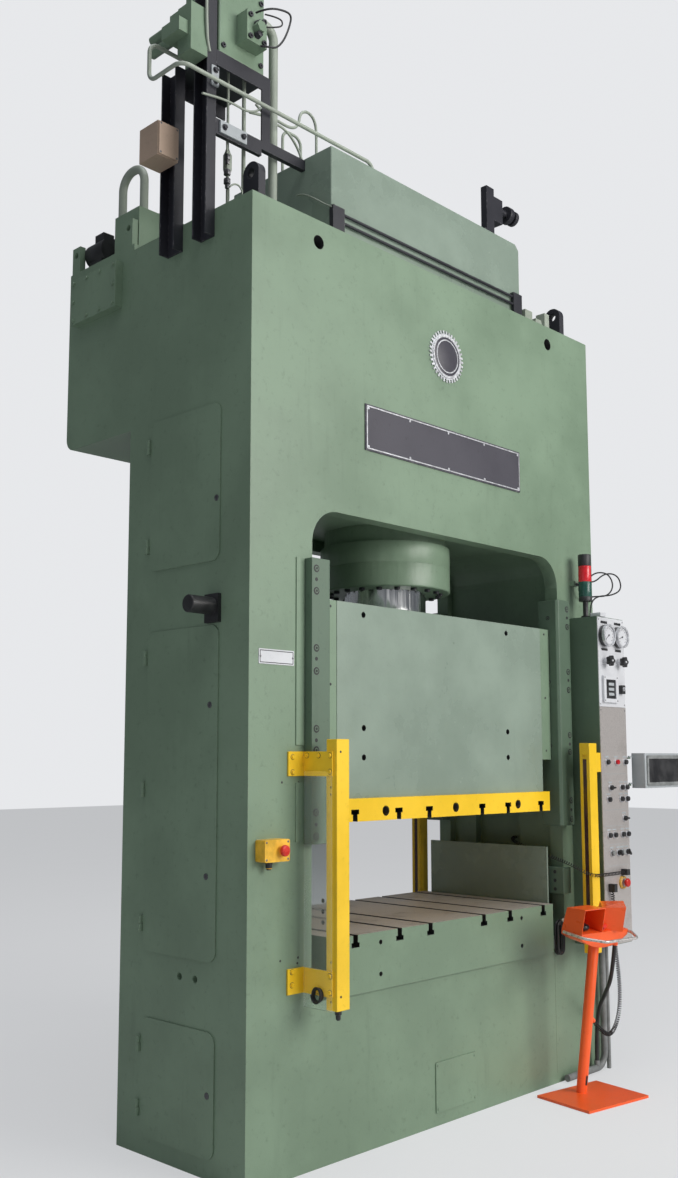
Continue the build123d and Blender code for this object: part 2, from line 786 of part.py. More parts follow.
# Black post with valves at the right of the crown box
post_x = crown_box_width / 2 + 32
with BuildPart() as valve_post:
    block((post_x, post_x + 68), (-105, -65), (frame_height, crown_top + 442))
    block((post_x + 68, post_x + 148), (-105, -45), (crown_top + 260, crown_top + 400))
    for start, end, radius in ((148, 208, 20), (208, 243, 48), (243, 268, 18), (268, 293, 42), (293, 308, 16)):
        with BuildSketch(Plane.YZ.offset(post_x + start)):
            with Locations((-75, crown_top + 350)):
                Circle(radius)
        extrude(amount=end - start)
    block((post_x - 32, post_x), (-115, -55), (crown_top + 60, crown_top + 180))
save(valve_post, "valve_post")

# Black limit switch above the middle door
switch_bottom = door_levels[1][1] + 8
with BuildPart() as side_switch:
    block((left_x - 18, left_x), (-235, -150), (switch_bottom, switch_bottom + 117))
    with BuildSketch(Plane.YZ.offset(left_x - 18)):
        with Locations((-192, switch_bottom + 67)):
            Circle(36)
    extrude(amount=-120)
    fillet(side_switch.edges().sort_by(Axis.X)[0], 6)
save(side_switch, "side_switch")

# Name plate and badge, both bare
with BuildPart() as name_plate:
    with BuildSketch(Plane.XZ.offset(-front_y)):
        with Locations((0, window_top + name_plate_share * header_height)):
            Rectangle(name_plate_width, name_plate_height_share * header_height)
    extrude(amount=6)
save(name_plate, "name_plate")

with BuildPart() as badge:
    with BuildSketch(Plane.XZ.offset(-front_y)):
        with Locations(badge_place):
            Circle(112)
        with Locations(badge_place):
            with PolarLocations(118, 36):
                Rectangle(18, 10)
    extrude(amount=6)
save(badge, "badge")


def stop_button(x, face_y, z, name):
    """A mushroom button that stands on a front face and travels into it."""
    stem_start = Plane.XZ.offset(-(face_y - stop_gap - stop_button_travel))
    with BuildPart() as button:
        with BuildSketch(stem_start):
            with Locations((x, z)):
                Circle(stop_stem_radius)
        extrude(amount=stop_stem_length)
        with BuildSketch(stem_start.offset(stop_stem_length)):
            with Locations((x, z)):
                Circle(stop_button_radius)
        extrude(amount=stop_cap_height)
        fillet(button.edges().filter_by(GeomType.CIRCLE).sort_by(Axis.Y)[0], stop_cap_height / 2)
    save(button, name)


# Emergency-stop box on the left column
stop_box_x = left_x + 106
stop_box_z = 1248
stop_box_width = 131
stop_box_height = 85
stop_box_depth = 55
with BuildPart() as stop_box:
    with BuildSketch(Plane.XZ.offset(-front_y)):
        with Locations((stop_box_x, stop_box_z)):
            RectangleRounded(stop_box_width, stop_box_height, 8)
    extrude(amount=stop_box_depth)
    with BuildSketch(Plane.XY.offset(stop_box_z - stop_box_height / 2)):
        with Locations((stop_box_x - 20, front_y - stop_box_depth / 2)):
            Circle(12)
    extrude(amount=-26)
save(stop_box, "stop_box")
stop_button(stop_box_x + 22, front_y - stop_box_depth, stop_box_z, "stop_button")

# Light-curtain posts with a slot for the optical window, front and rear, left and right
post_boxes = []
for side in (-1, 1):
    for end in (-1, 1):
        x_range = sorted((side * (light_post_x - (light_post_width - 36)), side * (light_post_x + 36)))
        near_y = end * (frame_depth / 2 + light_post_stand_off)
        far_y = near_y + end * light_post_depth
        post_boxes.append((side, x_range, sorted((near_y, far_y))))
with BuildPart() as light_posts:
    for side, x_range, y_range in post_boxes:
        block(x_range, y_range, (light_post_bottom, light_post_bottom + light_post_height))
        inner_x = x_range[0] if side > 0 else x_range[1]
        middle_y = sum(y_range) / 2
        block(sorted((inner_x, inner_x + side * light_slot_depth)),
              (middle_y - light_slot_width / 2, middle_y + light_slot_width / 2),
              (light_post_bottom + 60, light_post_bottom + light_post_height - 60), mode=Mode.SUBTRACT)
save(light_posts, "light_posts")

# Brackets: angles on the column faces, and short blocks where the cabinet carries the post
with BuildPart() as light_brackets:
    for side, x_range, y_range in post_boxes:
        end = -1 if y_range[0] < 0 else 1
        face_y = end * frame_depth / 2
        outer_x = side * (light_post_x + 36)
        for z in bracket_levels:
            z_range = (z - bracket_height / 2, z + bracket_height / 2)
            if end < 0 < side:
                block((outer_x, cabinet_x), (y_range[1] - 50, y_range[1] - 10), z_range)
                continue
            block(sorted((outer_x, outer_x + side * bracket_thickness)),
                  sorted((face_y, face_y + end * (light_post_stand_off + bracket_overlap))), z_range)
            block(sorted((outer_x, outer_x + side * bracket_flange)),
                  sorted((face_y, face_y + end * bracket_thickness)), z_range)
save(light_brackets, "light_brackets")

# Clear side screens bolted to the outside of the left brackets, front and rear
screen_outer_x = -(light_post_x + 36 + bracket_thickness)
with BuildPart() as side_screens:
    for end in (-1, 1):
        face_y = end * (frame_depth / 2 + 2 * bracket_thickness)
        block((screen_outer_x - screen_thickness, screen_outer_x),
              sorted((face_y, end * (frame_depth / 2 + light_post_stand_off + bracket_overlap))),
              (light_post_bottom, bracket_levels[1] - bracket_height / 2 + 20))
save(side_screens, "side_screens")

# Control cabinet with the two ears of the screen hinge
cabinet_front = front_y - cabinet_depth
cabinet_top = cabinet_bottom + cabinet_height
screen_hinge_y = cabinet_front - panel_thickness
ear_heights = (screen_box_bottom + 12, screen_box_bottom + screen_box_height - 30)
with BuildPart() as control_cabinet:
    block((cabinet_x, cabinet_x + cabinet_width), (cabinet_front, front_y), (cabinet_bottom, cabinet_top))
    for z in ear_heights:
        block((cabinet_x + cabinet_width, screen_hinge_x), (screen_hinge_y - 7, screen_hinge_y + 7), (z, z + 8))
        with BuildSketch(Plane.XY.offset(z)):
            with Locations((screen_hinge_x, screen_hinge_y)):
                Circle(7)
        extrude(amount=8)
        with BuildSketch(Plane.XY.offset(z + 8)):
            with Locations((screen_hinge_x, screen_hinge_y)):
                Circle(3)
        extrude(amount=8)
save(control_cabinet, "control_cabinet")

# Panels: a white upper one with the gauge valves' fittings and spindles,
# and an aluminium lower one with rows of small push buttons and the stop button's collar
panel_x = (cabinet_x + 2, cabinet_x + cabinet_width - 2)
panel_centre_x = sum(panel_x) / 2
panel_front = cabinet_front - panel_thickness
gauge_places = [(panel_centre_x + side * gauge_spacing / 2, gauge_height) for side in (-1, 1)]
knob_places = [(x, knob_height) for x, z in gauge_places]
stop_place = (panel_centre_x + 46, 963)
socket_place = (panel_centre_x - 78, 925)
side_socket_place = (panel_centre_x + 50, 1001)
with BuildPart() as upper_panel:
    block(panel_x, (panel_front, cabinet_front), (panel_seam + 1, cabinet_top - 3))
    with BuildSketch(Plane.XZ.offset(-panel_front)):
        with Locations(*knob_places):
            RegularPolygon(15, 6)
    extrude(amount=fitting_length)
    with BuildSketch(Plane.XZ.offset(-(panel_front - fitting_length))):
        with Locations(*knob_places):
            Circle(spindle_radius)
    extrude(amount=spindle_length)
save(upper_panel, "upper_panel")

with BuildPart() as lower_panel:
    block(panel_x, (panel_front, cabinet_front), (cabinet_bottom + 3, panel_seam))
    with BuildSketch(Plane.XZ.offset(-panel_front)):
        with Locations(*[(panel_centre_x + dx, z) for z, row in button_rows for dx in row]):
            RegularPolygon(button_radius, 12)
    extrude(amount=button_length)
    with BuildSketch(Plane.XZ.offset(-panel_front)):
        with Locations(stop_place):
            Circle(stop_collar_radius)
    extrude(amount=stop_collar_height)
    for (x, z), (width, height) in ((socket_place, (28, 40)), (side_socket_place, (30, 30))):
        block((x - width / 2, x + width / 2), (panel_front - 36, panel_front), (z, z + height))
save(lower_panel, "lower_panel")

# Pressure gauges
with BuildPart() as gauges:
    with BuildSketch(Plane.XZ.offset(-panel_front)):
        with Locations(*gauge_places):
            Circle(gauge_radius)
    extrude(amount=gauge_depth)
    with BuildSketch(Plane.XZ.offset(-(panel_front - gauge_depth))):
        with Locations(*gauge_places):
            Circle(gauge_radius - 7)
    extrude(amount=-6, mode=Mode.SUBTRACT)
save(gauges, "gauges")

# Star knobs that turn on the fittings' spindles
for (x, z), name in zip(knob_places, ("valve_knob_left", "valve_knob_right")):
    with BuildPart() as knob:
        with BuildSketch(Plane.XZ.offset(-(panel_front - fitting_length - stop_gap))):
            with Locations((x, z)):
                Circle(knob_radius - 5)
                with PolarLocations(knob_radius - 6, 5):
                    Circle(8)
                Circle(spindle_radius + fit_gap, mode=Mode.SUBTRACT)
        extrude(amount=22)
    save(knob, name)

# Counter under the valves
with BuildPart() as counter:
    with BuildSketch(Plane.XZ.offset(-panel_front)):
        with Locations((panel_centre_x - 32, 1959)):
            RectangleRounded(140, 140, 6)
    extrude(amount=14)
    with BuildSketch(Plane.XZ.offset(-(panel_front - 14))):
        with Locations((panel_centre_x - 32, 1959)):
            Rectangle(96, 100)
    extrude(amount=-6, mode=Mode.SUBTRACT)
save(counter, "counter")

# Emergency stop, low on the panel
stop_button(stop_place[0], panel_front - stop_collar_height, stop_place[1], "panel_stop_button")

# Signal tower on the cabinet: a foot on a stem, two lenses and a cap
signal_x = cabinet_x + 52
signal_y = front_y - 80
signal_radius = 34
foot_top = cabinet_top + 90
green_bottom = foot_top + 24
red_bottom = green_bottom + 80
cap_bottom = red_bottom + 84
with BuildPart() as signal_tower:
    for low, high, radius in ((cabinet_top, cabinet_top + 12, 24), (cabinet_top + 12, foot_top, 14),
                              (foot_top, green_bottom, signal_radius), (cap_bottom, cap_bottom + 62, signal_radius)):
        with BuildSketch(Plane.XY.offset(low)):
            with Locations((signal_x, signal_y)):
                Circle(radius)
        extrude(amount=high - low)
save(signal_tower, "signal_tower")
for low, high, name in ((green_bottom, red_bottom, "lens_green"), (red_bottom, cap_bottom, "lens_red")):
    with BuildPart() as lens:
        with BuildSketch(Plane.XY.offset(low)):
            with Locations((signal_x, signal_y)):
                Circle(signal_radius)
        extrude(amount=high - low)
    save(lens, name)

# Operator screen box, hung on two lugs that turn on the cabinet's hinge pins
screen_back = screen_hinge_y
with BuildPart() as screen_box:
    with BuildSketch(Plane.XY.offset(screen_box_bottom)):
        with Locations((screen_box_x, screen_back)):
            Rectangle(screen_box_width, screen_box_depth, align=(Align.MIN, Align.MAX))
    extrude(amount=screen_box_height)
    fillet(screen_box.edges().filter_by(Axis.Z), 6)
    for z in ear_heights:
        block((screen_hinge_x, screen_box_x + 10), (screen_back - 7, screen_back), (z + 8.3, z + 16))
        with BuildSketch(Plane.XY.offset(z + 8.3)):
            with Locations((screen_hinge_x, screen_hinge_y)):
                Circle(7)
        extrude(amount=7.7)
        with BuildSketch(Plane.XY.offset(z + 8)):
            with Locations((screen_hinge_x, screen_hinge_y)):
                Circle(3 + fit_gap)
        extrude(amount=9, mode=Mode.SUBTRACT)
save(screen_box, "screen_box")

# Two-hand control stand: everything is placed in the stand's own turned and leaning planes
turn = radians(stand_turn)
lean = radians(stand_lean)
stand_right = Vector(cos(turn), sin(turn), 0)
stand_back = Vector(-sin(turn), cos(turn), 0)
tube_up = Vector(0, 0, 1) * cos(lean) - stand_back * sin(lean)
floor_plane = Plane(origin=(stand_x, stand_y, 0), x_dir=stand_right, z_dir=(0, 0, 1))
tube_foot = Vector(stand_x, stand_y, stand_base_thickness) + stand_back * stand_tube_set_back
head_origin = tube_foot + tube_up * stand_tube_length
head_plane = Plane(origin=head_origin, x_dir=stand_right, z_dir=tube_up)

cord_gland_centre = tube_foot + tube_up * cord_gland_height
cord_gland_axis = (stand_right - Vector(0, 0, 1)).normalized()
with BuildPart() as control_stand:
    with BuildSketch(floor_plane):
        Rectangle(stand_base_width, stand_base_depth)
    extrude(amount=stand_base_thickness)
    with BuildSketch(Plane(origin=tube_foot - tube_up * 4, x_dir=stand_right, z_dir=tube_up)):
        Circle(stand_tube_diameter / 2)
    extrude(amount=stand_tube_length + 4)
    with BuildSketch(Plane(origin=cord_gland_centre, z_dir=cord_gland_axis)):
        Circle(cord_gland_radius)
    extrude(amount=cord_gland_length)
save(control_stand, "control_stand")

# Head: a round-bottomed tray with two hoods welded on, the right one turned outwards
tray_top = head_plane.offset(tray_depth)
hose_gland = Plane(origin=tray_top.from_local_coords(Vector(*hose_gland_place, -30)), x_dir=tray_top.x_dir,
                   z_dir=-tray_top.z_dir)
hood_planes = []
for side, angle in ((-1, 0), (1, radians(hood_turn))):
    hood_centre = tray_top.from_local_coords(Vector(side * (head_width - hood_width) / 2, 0, 0))
    hood_right = tray_top.x_dir * cos(angle) + tray_top.y_dir * sin(angle)
    hood_planes.append(Plane(origin=hood_centre, x_dir=hood_right, z_dir=tray_top.z_dir))
hood_outline = [(-head_depth / 2, 0), (head_depth / 2, 0), (head_depth / 2 - 22, hood_height - 14),
                (-head_depth / 2 - 8, hood_height)]
hood_hollow = [(-head_depth, 0), (head_depth / 2 - hood_wall, 0),
               (head_depth / 2 - 22 - hood_wall, hood_height - 14 - hood_wall),
               (-head_depth, hood_height + 3.5 - hood_wall)]
with BuildPart() as stand_head:
    with BuildSketch(Plane(origin=tray_top.from_local_coords(Vector(0, head_depth / 2, 0)),
                           x_dir=tray_top.x_dir, z_dir=-tray_top.y_dir)):
        with BuildLine():
            Polyline((-head_width / 2, 0), (-head_width / 2, -tray_edge))
            ThreePointArc((-head_width / 2, -tray_edge), (0, -tray_depth), (head_width / 2, -tray_edge))
            Polyline((head_width / 2, -tray_edge), (head_width / 2, 0), (-head_width / 2, 0))
        make_face()
    extrude(amount=head_depth)
    for hood in hood_planes:
        with BuildSketch(Plane(origin=hood.origin - hood.x_dir * hood_width / 2, x_dir=hood.y_dir,
                               z_dir=hood.x_dir)):
            Polygon(*hood_outline, align=None)
        extrude(amount=hood_width)
        with BuildSketch(Plane(origin=hood.origin - hood.x_dir * (hood_width / 2 - hood_wall),
                               x_dir=hood.y_dir, z_dir=hood.x_dir)):
            Polygon(*hood_hollow, align=None)
        extrude(amount=hood_width - 2 * hood_wall, mode=Mode.SUBTRACT)
    with BuildSketch(hose_gland):
        Circle(hose_gland_radius)
    extrude(amount=hose_gland_length)
save(stand_head, "stand_head")

# Palm buttons under the hoods, and the stop button between them
for hood, name in zip(hood_planes, ("palm_button_left", "palm_button_right")):
    with BuildPart() as palm_button:
        with BuildSketch(hood.offset(palm_travel + stop_gap)):
            Circle(palm_radius)
        extrude(amount=palm_height - palm_travel)
        fillet(palm_button.edges().filter_by(GeomType.CIRCLE).sort_by(Axis.Z)[-1], 8)
    save(palm_button, name)

stop_base = Plane(origin=tray_top.from_local_coords(Vector(4, -44, palm_travel + stop_gap)),
                  x_dir=tray_top.x_dir, z_dir=tray_top.z_dir)
with BuildPart() as stand_stop_button:
    with BuildSketch(stop_base):
        Circle(9)
    extrude(amount=12)
    with BuildSketch(stop_base.offset(12)):
        Circle(16)
    extrude(amount=12)
save(stand_stop_button, "stand_stop_button")

# Guard rail round the front of the head, from one side of the tray to the other
rail_level = tray_top.offset(-12)
rail_side = (head_width + rail_diameter) / 2 + 0.02
rail_points = [(-rail_side, 45), (-rail_side, -82), (-112, -165), (112, -165), (rail_side, -82), (rail_side, 45)]
rail_route = [tuple(rail_level.from_local_coords(Vector(x, y, 0))) for x, y in rail_points]
with BuildPart() as guard_rail:
    add(tube(rail_route, rail_diameter, (40, 40, 40, 40)))
save(guard_rail, "guard_rail")

# Rigid conduits from the cabinet down to the floor, one of them on along the floor
conduit_y = front_y - 35
conduit_z = 22
hose_stub = (1120, conduit_y, 60)
with BuildPart() as second_conduit:
    with BuildSketch(Plane.XY):
        with Locations((cabinet_x + 236, conduit_y)):
            Circle(11)
    extrude(amount=cabinet_bottom)
with BuildPart() as stub:
    with BuildSketch(Plane.XY.offset(conduit_z)):
        with Locations(hose_stub[:2]):
            Circle(14)
    extrude(amount=hose_stub[2] - conduit_z)
with BuildPart() as floor_conduit:
    conduit_route = [(cabinet_x + 195, conduit_y, cabinet_bottom), (cabinet_x + 195, conduit_y, conduit_z),
                     (845, conduit_y, conduit_z)]
    add(tube(conduit_route, 34, 70))
    add(second_conduit.part)
    add(stub.part)
save(floor_conduit, "floor_conduit")

# Hose from the head's gland down to the floor conduit
hose_start = hose_gland.origin + hose_gland.z_dir * hose_gland_length
hose_route = [tuple(hose_start), tuple(hose_start + hose_gland.z_dir * 150), (1010, -575, 440),
              (1120, conduit_y, 290), hose_stub]
with BuildPart() as stand_hose:
    add(tube(hose_route, hose_diameter, cord_bends("stand_hose", hose_route)))
save(stand_hose, "stand_hose")

# Coil of spare cable strapped to the frame's front below the guide stop
coil_x = (784, 872)
coil_z = (610, 800)
coil_tube = 38
coil_y = front_y - coil_tube / 2
coil_end = (coil_x[1] - coil_x[0] - coil_tube) / 2
coil_middle_x = sum(coil_x) / 2
coil_left = coil_middle_x - coil_end
coil_right = coil_middle_x + coil_end
coil_low = coil_z[0] + coil_tube / 2 + coil_end
coil_high = coil_z[1] - coil_tube / 2 - coil_end
with BuildPart() as cable_coil:
    with BuildLine(Plane.XZ.offset(-coil_y)) as ring:
        Line((coil_right, coil_low), (coil_right, coil_high))
        ThreePointArc((coil_right, coil_high), (coil_middle_x, coil_high + coil_end), (coil_left, coil_high))
        Line((coil_left, coil_high), (coil_left, coil_low))
        ThreePointArc((coil_left, coil_low), (coil_middle_x, coil_low - coil_end), (coil_right, coil_low))
    ring_wire = ring.wires()[0]
    with BuildSketch(Plane(origin=ring_wire @ 0, z_dir=ring_wire % 0)):
        Circle(coil_tube / 2)
    sweep(path=ring_wire)
save(cable_coil, "cable_coil")

# Signal tower's cable: out of the gland on the frame, two loops, then into the cabinet's top
signal_route = [(gland_tip, signal_gland_y, signal_gland_z), (1155, -417, 2528), (1240, -419, 2612),
                (1395, -421, 2628), (1450, -424, 2560), (1375, -427, 2492), (1215, -430, 2476),
                (1110, -432, 2450), (1060, -434, 2505), (1110, -436, 2562), (1210, -438, 2545),
                (1330, -439, 2618), (1470, -439, 2622), (1510, -439, 2545), (1400, -439, 2498),
                (1240, -439, 2480), (1168, -439, 2425), (1168, -439, cabinet_top)]
with BuildPart() as signal_cable:
    add(tube(signal_route, signal_cable_diameter, cord_bends("signal_cable", signal_route)))
save(signal_cable, "signal_cable")

# Curly cord from the stand's tube to the socket on the lower panel
cord_start = cord_gland_centre + cord_gland_axis * cord_gland_length
cord_route = [tuple(cord_start), tuple(cord_start + cord_gland_axis * 75), (905, -658, 250), (1000, -650, 330),
              (1045, -632, 480), (socket_place[0], panel_front - 15, 700), (socket_place[0], panel_front - 15, socket_place[1])]
pocket_route = [(pocket_floor, -60, 1180), (895, -60, 1180), (872, -260, 1120), (858, -470, 1075), (842, -612, 1018),
                (1000, -606, 1016), (side_socket_place[0] - 15, -606, 1016)]
with BuildPart() as curly_cords:
    add(tube(cord_route, cord_diameter, cord_bends("curly_cords", cord_route)))
    add(tube(pocket_route, pocket_cord_diameter, cord_bends("pocket_cord", pocket_route)))
save(curly_cords, "curly_cords")
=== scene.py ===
"""Looks of a two-column hydraulic press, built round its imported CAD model. Metres, in the CAD's frame."""

import json
import math

import bmesh
import bpy
from mathutils import Matrix, Vector


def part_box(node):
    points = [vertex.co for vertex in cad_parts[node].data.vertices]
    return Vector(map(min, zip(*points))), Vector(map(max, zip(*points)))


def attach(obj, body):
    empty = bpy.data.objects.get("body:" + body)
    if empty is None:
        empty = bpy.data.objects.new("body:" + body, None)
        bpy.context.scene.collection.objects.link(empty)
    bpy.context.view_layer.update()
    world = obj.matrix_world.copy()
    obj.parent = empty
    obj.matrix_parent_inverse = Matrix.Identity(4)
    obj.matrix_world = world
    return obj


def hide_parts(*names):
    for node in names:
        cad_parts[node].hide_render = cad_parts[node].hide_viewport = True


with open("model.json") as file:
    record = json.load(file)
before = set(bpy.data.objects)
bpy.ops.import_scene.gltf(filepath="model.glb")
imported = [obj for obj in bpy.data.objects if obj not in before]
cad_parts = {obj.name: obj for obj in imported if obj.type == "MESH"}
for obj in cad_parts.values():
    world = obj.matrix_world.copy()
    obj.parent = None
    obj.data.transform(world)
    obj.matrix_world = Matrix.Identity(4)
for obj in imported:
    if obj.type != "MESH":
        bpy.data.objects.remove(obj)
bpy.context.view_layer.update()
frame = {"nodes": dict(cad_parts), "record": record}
nodes = frame["nodes"]
scene = bpy.context.scene
scene.view_settings.view_transform = "Standard"

# Camera at the photograph's place, in front of the left column at eye height
CAMERA_PLACE = (-4.2287, -3.7779, 1.600)
CAMERA_YAW = math.radians(-45.92)
CAMERA_TILT = math.radians(96.66)
CAMERA_ROLL = math.radians(-0.07)
camera_data = bpy.data.cameras.new("camera")
camera_data.sensor_width = 36
camera_data.lens = 35.35
camera_data.shift_y = 0.0294
camera_data.clip_end = 200
camera = bpy.data.objects.new("camera", camera_data)
scene.collection.objects.link(camera)
camera.matrix_world = (Matrix.Translation(CAMERA_PLACE) @ Matrix.Rotation(CAMERA_YAW, 4, "Z")
                       @ Matrix.Rotation(CAMERA_TILT, 4, "X") @ Matrix.Rotation(CAMERA_ROLL, 4, "Z"))
scene.camera = camera


# Materials
def new_material(name):
    """A node material whose Principled shader feeds its output, with its tree and that shader."""
    material = bpy.data.materials.new(name)
    material.use_nodes = True
    tree = material.node_tree
    tree.nodes.clear()
    output = tree.nodes.new("ShaderNodeOutputMaterial")
    shader = tree.nodes.new("ShaderNodeBsdfPrincipled")
    tree.links.new(shader.outputs["BSDF"], output.inputs["Surface"])
    return material, tree, shader


def texture(tree, kind, scale, stretch=(1, 1, 1), **settings):
    """A 3-D texture in the piece's own coordinates, with its scale per metre."""
    place = tree.nodes.new("ShaderNodeTexCoord")
    mapping = tree.nodes.new("ShaderNodeMapping")
    mapping.inputs["Scale"].default_value = stretch
    node = tree.nodes.new(kind)
    node.inputs["Scale"].default_value = scale
    for key, value in settings.items():
        node.inputs[key].default_value = value
    tree.links.new(place.outputs["Object"], mapping.inputs["Vector"])
    tree.links.new(mapping.outputs["Vector"], node.inputs["Vector"])
    return node


def ramp(tree, source, low, high, start=0.0, end=1.0):
    """Map a value between two levels with soft ends."""
    node = tree.nodes.new("ShaderNodeMapRange")
    node.interpolation_type = "SMOOTHSTEP"
    node.inputs["From Min"].default_value = low
    node.inputs["From Max"].default_value = high
    node.inputs["To Min"].default_value = start
    node.inputs["To Max"].default_value = end
    tree.links.new(source, node.inputs["Value"])
    return node.outputs["Result"]


def blend_colour(tree, factor, first, second):
    """Mix two colours, each a socket or a plain colour."""
    node = tree.nodes.new("ShaderNodeMix")
    node.data_type = "RGBA"
    tree.links.new(factor, node.inputs[0])
    for socket, value in ((node.inputs[6], first), (node.inputs[7], second)):
        if isinstance(value, tuple):
            socket.default_value = (*value, 1)
        else:
            tree.links.new(value, socket)
    return node.outputs[2]


def edge_mask(tree, radius):
    """One at edges and corners, zero on flats, from how far a rounded normal turns away."""
    bevel = tree.nodes.new("ShaderNodeBevel")
    bevel.samples = 4
    bevel.inputs["Radius"].default_value = radius
    geometry = tree.nodes.new("ShaderNodeNewGeometry")
    dot = tree.nodes.new("ShaderNodeVectorMath")
    dot.operation = "DOT_PRODUCT"
    tree.links.new(bevel.outputs["Normal"], dot.inputs[0])
    tree.links.new(geometry.outputs["Normal"], dot.inputs[1])
    return ramp(tree, dot.outputs["Value"], 0.96, 0.80)


def times(tree, first, second):
    """Product of two values."""
    node = tree.nodes.new("ShaderNodeMath")
    node.operation = "MULTIPLY"
    tree.links.new(first, node.inputs[0])
    if isinstance(second, (int, float)):
        node.inputs[1].default_value = second
    else:
        tree.links.new(second, node.inputs[1])
    return node.outputs[0]


def bump(tree, shader, height, distance):
    """Join a height to the shader's normal."""
    node = tree.nodes.new("ShaderNodeBump")
    node.inputs["Strength"].default_value = 1.0
    node.inputs["Distance"].default_value = distance
    tree.links.new(height, node.inputs["Height"])
    tree.links.new(node.outputs["Normal"], shader.inputs["Normal"])


def enamel(name, colour, roughness, worn=(0.16, 0.15, 0.13), wear=0.5, dirt=0.35, streak=0.0):
    """Brushed-on machine enamel: cloudy colour, orange peel, worn edges and settled dirt."""
    material, tree, shader = new_material(name)
    cloud = texture(tree, "ShaderNodeTexNoise", 1.7, Detail=5, Roughness=0.6)
    speck = texture(tree, "ShaderNodeTexNoise", 38, Detail=6, Roughness=0.7)
    peel = texture(tree, "ShaderNodeTexNoise", 160, Detail=2)
    pale = tuple(min(1, c * 1.07 + 0.006) for c in colour)
    deep = tuple(c * 0.90 for c in colour)
    grime = tuple(c * 0.42 for c in colour)
    body = blend_colour(tree, ramp(tree, cloud.outputs["Fac"], 0.35, 0.68), deep, pale)
    soiled = times(tree, ramp(tree, speck.outputs["Fac"], 0.55, 0.75), dirt)
    body = blend_colour(tree, soiled, body, grime)
    if streak:
        runs = texture(tree, "ShaderNodeTexNoise", 3.0, stretch=(5, 5, 0.5), Detail=6, Roughness=0.65)
        streaked = times(tree, ramp(tree, runs.outputs["Fac"], 0.56, 0.80), streak)
        body = blend_colour(tree, streaked, body, grime)
    chips = texture(tree, "ShaderNodeTexNoise", 55, Detail=4, Roughness=0.6)
    edges = times(tree, edge_mask(tree, 0.006), ramp(tree, chips.outputs["Fac"], 0.50, 0.62))
    body = blend_colour(tree, times(tree, edges, wear), body, worn)
    tree.links.new(body, shader.inputs["Base Color"])
    tree.links.new(ramp(tree, cloud.outputs["Fac"], 0.3, 0.7, roughness - 0.06, roughness + 0.10),
                   shader.inputs["Roughness"])
    shader.inputs["Specular IOR Level"].default_value = 0.45
    bump(tree, shader, peel.outputs["Fac"], 0.0004)
    return material


OIL = (0.16, 0.12, 0.09)


def steel(name, colour, roughness, stretch, stains, metal=1.0):
    """Machined or brushed metal with a fine grain and oily stains."""
    material, tree, shader = new_material(name)
    grain = texture(tree, "ShaderNodeTexNoise", 60, stretch=stretch, Detail=4, Roughness=0.7)
    stain = texture(tree, "ShaderNodeTexNoise", 6, Detail=6, Roughness=0.65)
    pale = tuple(min(1, c * 1.12) for c in colour)
    deep = tuple(c * 0.82 for c in colour)
    body = blend_colour(tree, ramp(tree, grain.outputs["Fac"], 0.35, 0.65), deep, pale)
    stained = times(tree, ramp(tree, stain.outputs["Fac"], 0.5, 0.75), stains)
    body = blend_colour(tree, stained, body, OIL)
    tree.links.new(body, shader.inputs["Base Color"])
    shader.inputs["Metallic"].default_value = metal
    tree.links.new(ramp(tree, grain.outputs["Fac"], 0.3, 0.7, roughness - 0.07, roughness + 0.12),
                   shader.inputs["Roughness"])
    bump(tree, shader, grain.outputs["Fac"], 0.0003)
    return material


def plastic(name, colour, roughness):
    """Moulded plastic or rubber with a fine grain, slightly rubbed."""
    material, tree, shader = new_material(name)
    grain = texture(tree, "ShaderNodeTexNoise", 700, Detail=2)
    rub = texture(tree, "ShaderNodeTexNoise", 14, Detail=5, Roughness=0.6)
    pale = tuple(min(1, c * 1.25 + 0.01) for c in colour)
    deep = tuple(c * 0.8 for c in colour)
    body = blend_colour(tree, ramp(tree, rub.outputs["Fac"], 0.35, 0.7), deep, pale)
    tree.links.new(body, shader.inputs["Base Color"])
    tree.links.new(ramp(tree, rub.outputs["Fac"], 0.3, 0.7, roughness - 0.08, roughness + 0.12),
                   shader.inputs["Roughness"])
    bump(tree, shader, grain.outputs["Fac"], 0.0002)
    return material


def clear(name, colour, roughness):
    """Clear sheet, slightly scratched."""
    material, tree, shader = new_material(name)
    scratch = texture(tree, "ShaderNodeTexNoise", 30, stretch=(1, 1, 6), Detail=6, Roughness=0.7)
    shader.inputs["Base Color"].default_value = (*colour, 1)
    shader.inputs["Transmission Weight"].default_value = 0.94
    shader.inputs["IOR"].default_value = 1.15
    tree.links.new(ramp(tree, scratch.outputs["Fac"], 0.4, 0.7, roughness, roughness + 0.14),
                   shader.inputs["Roughness"])
    return material


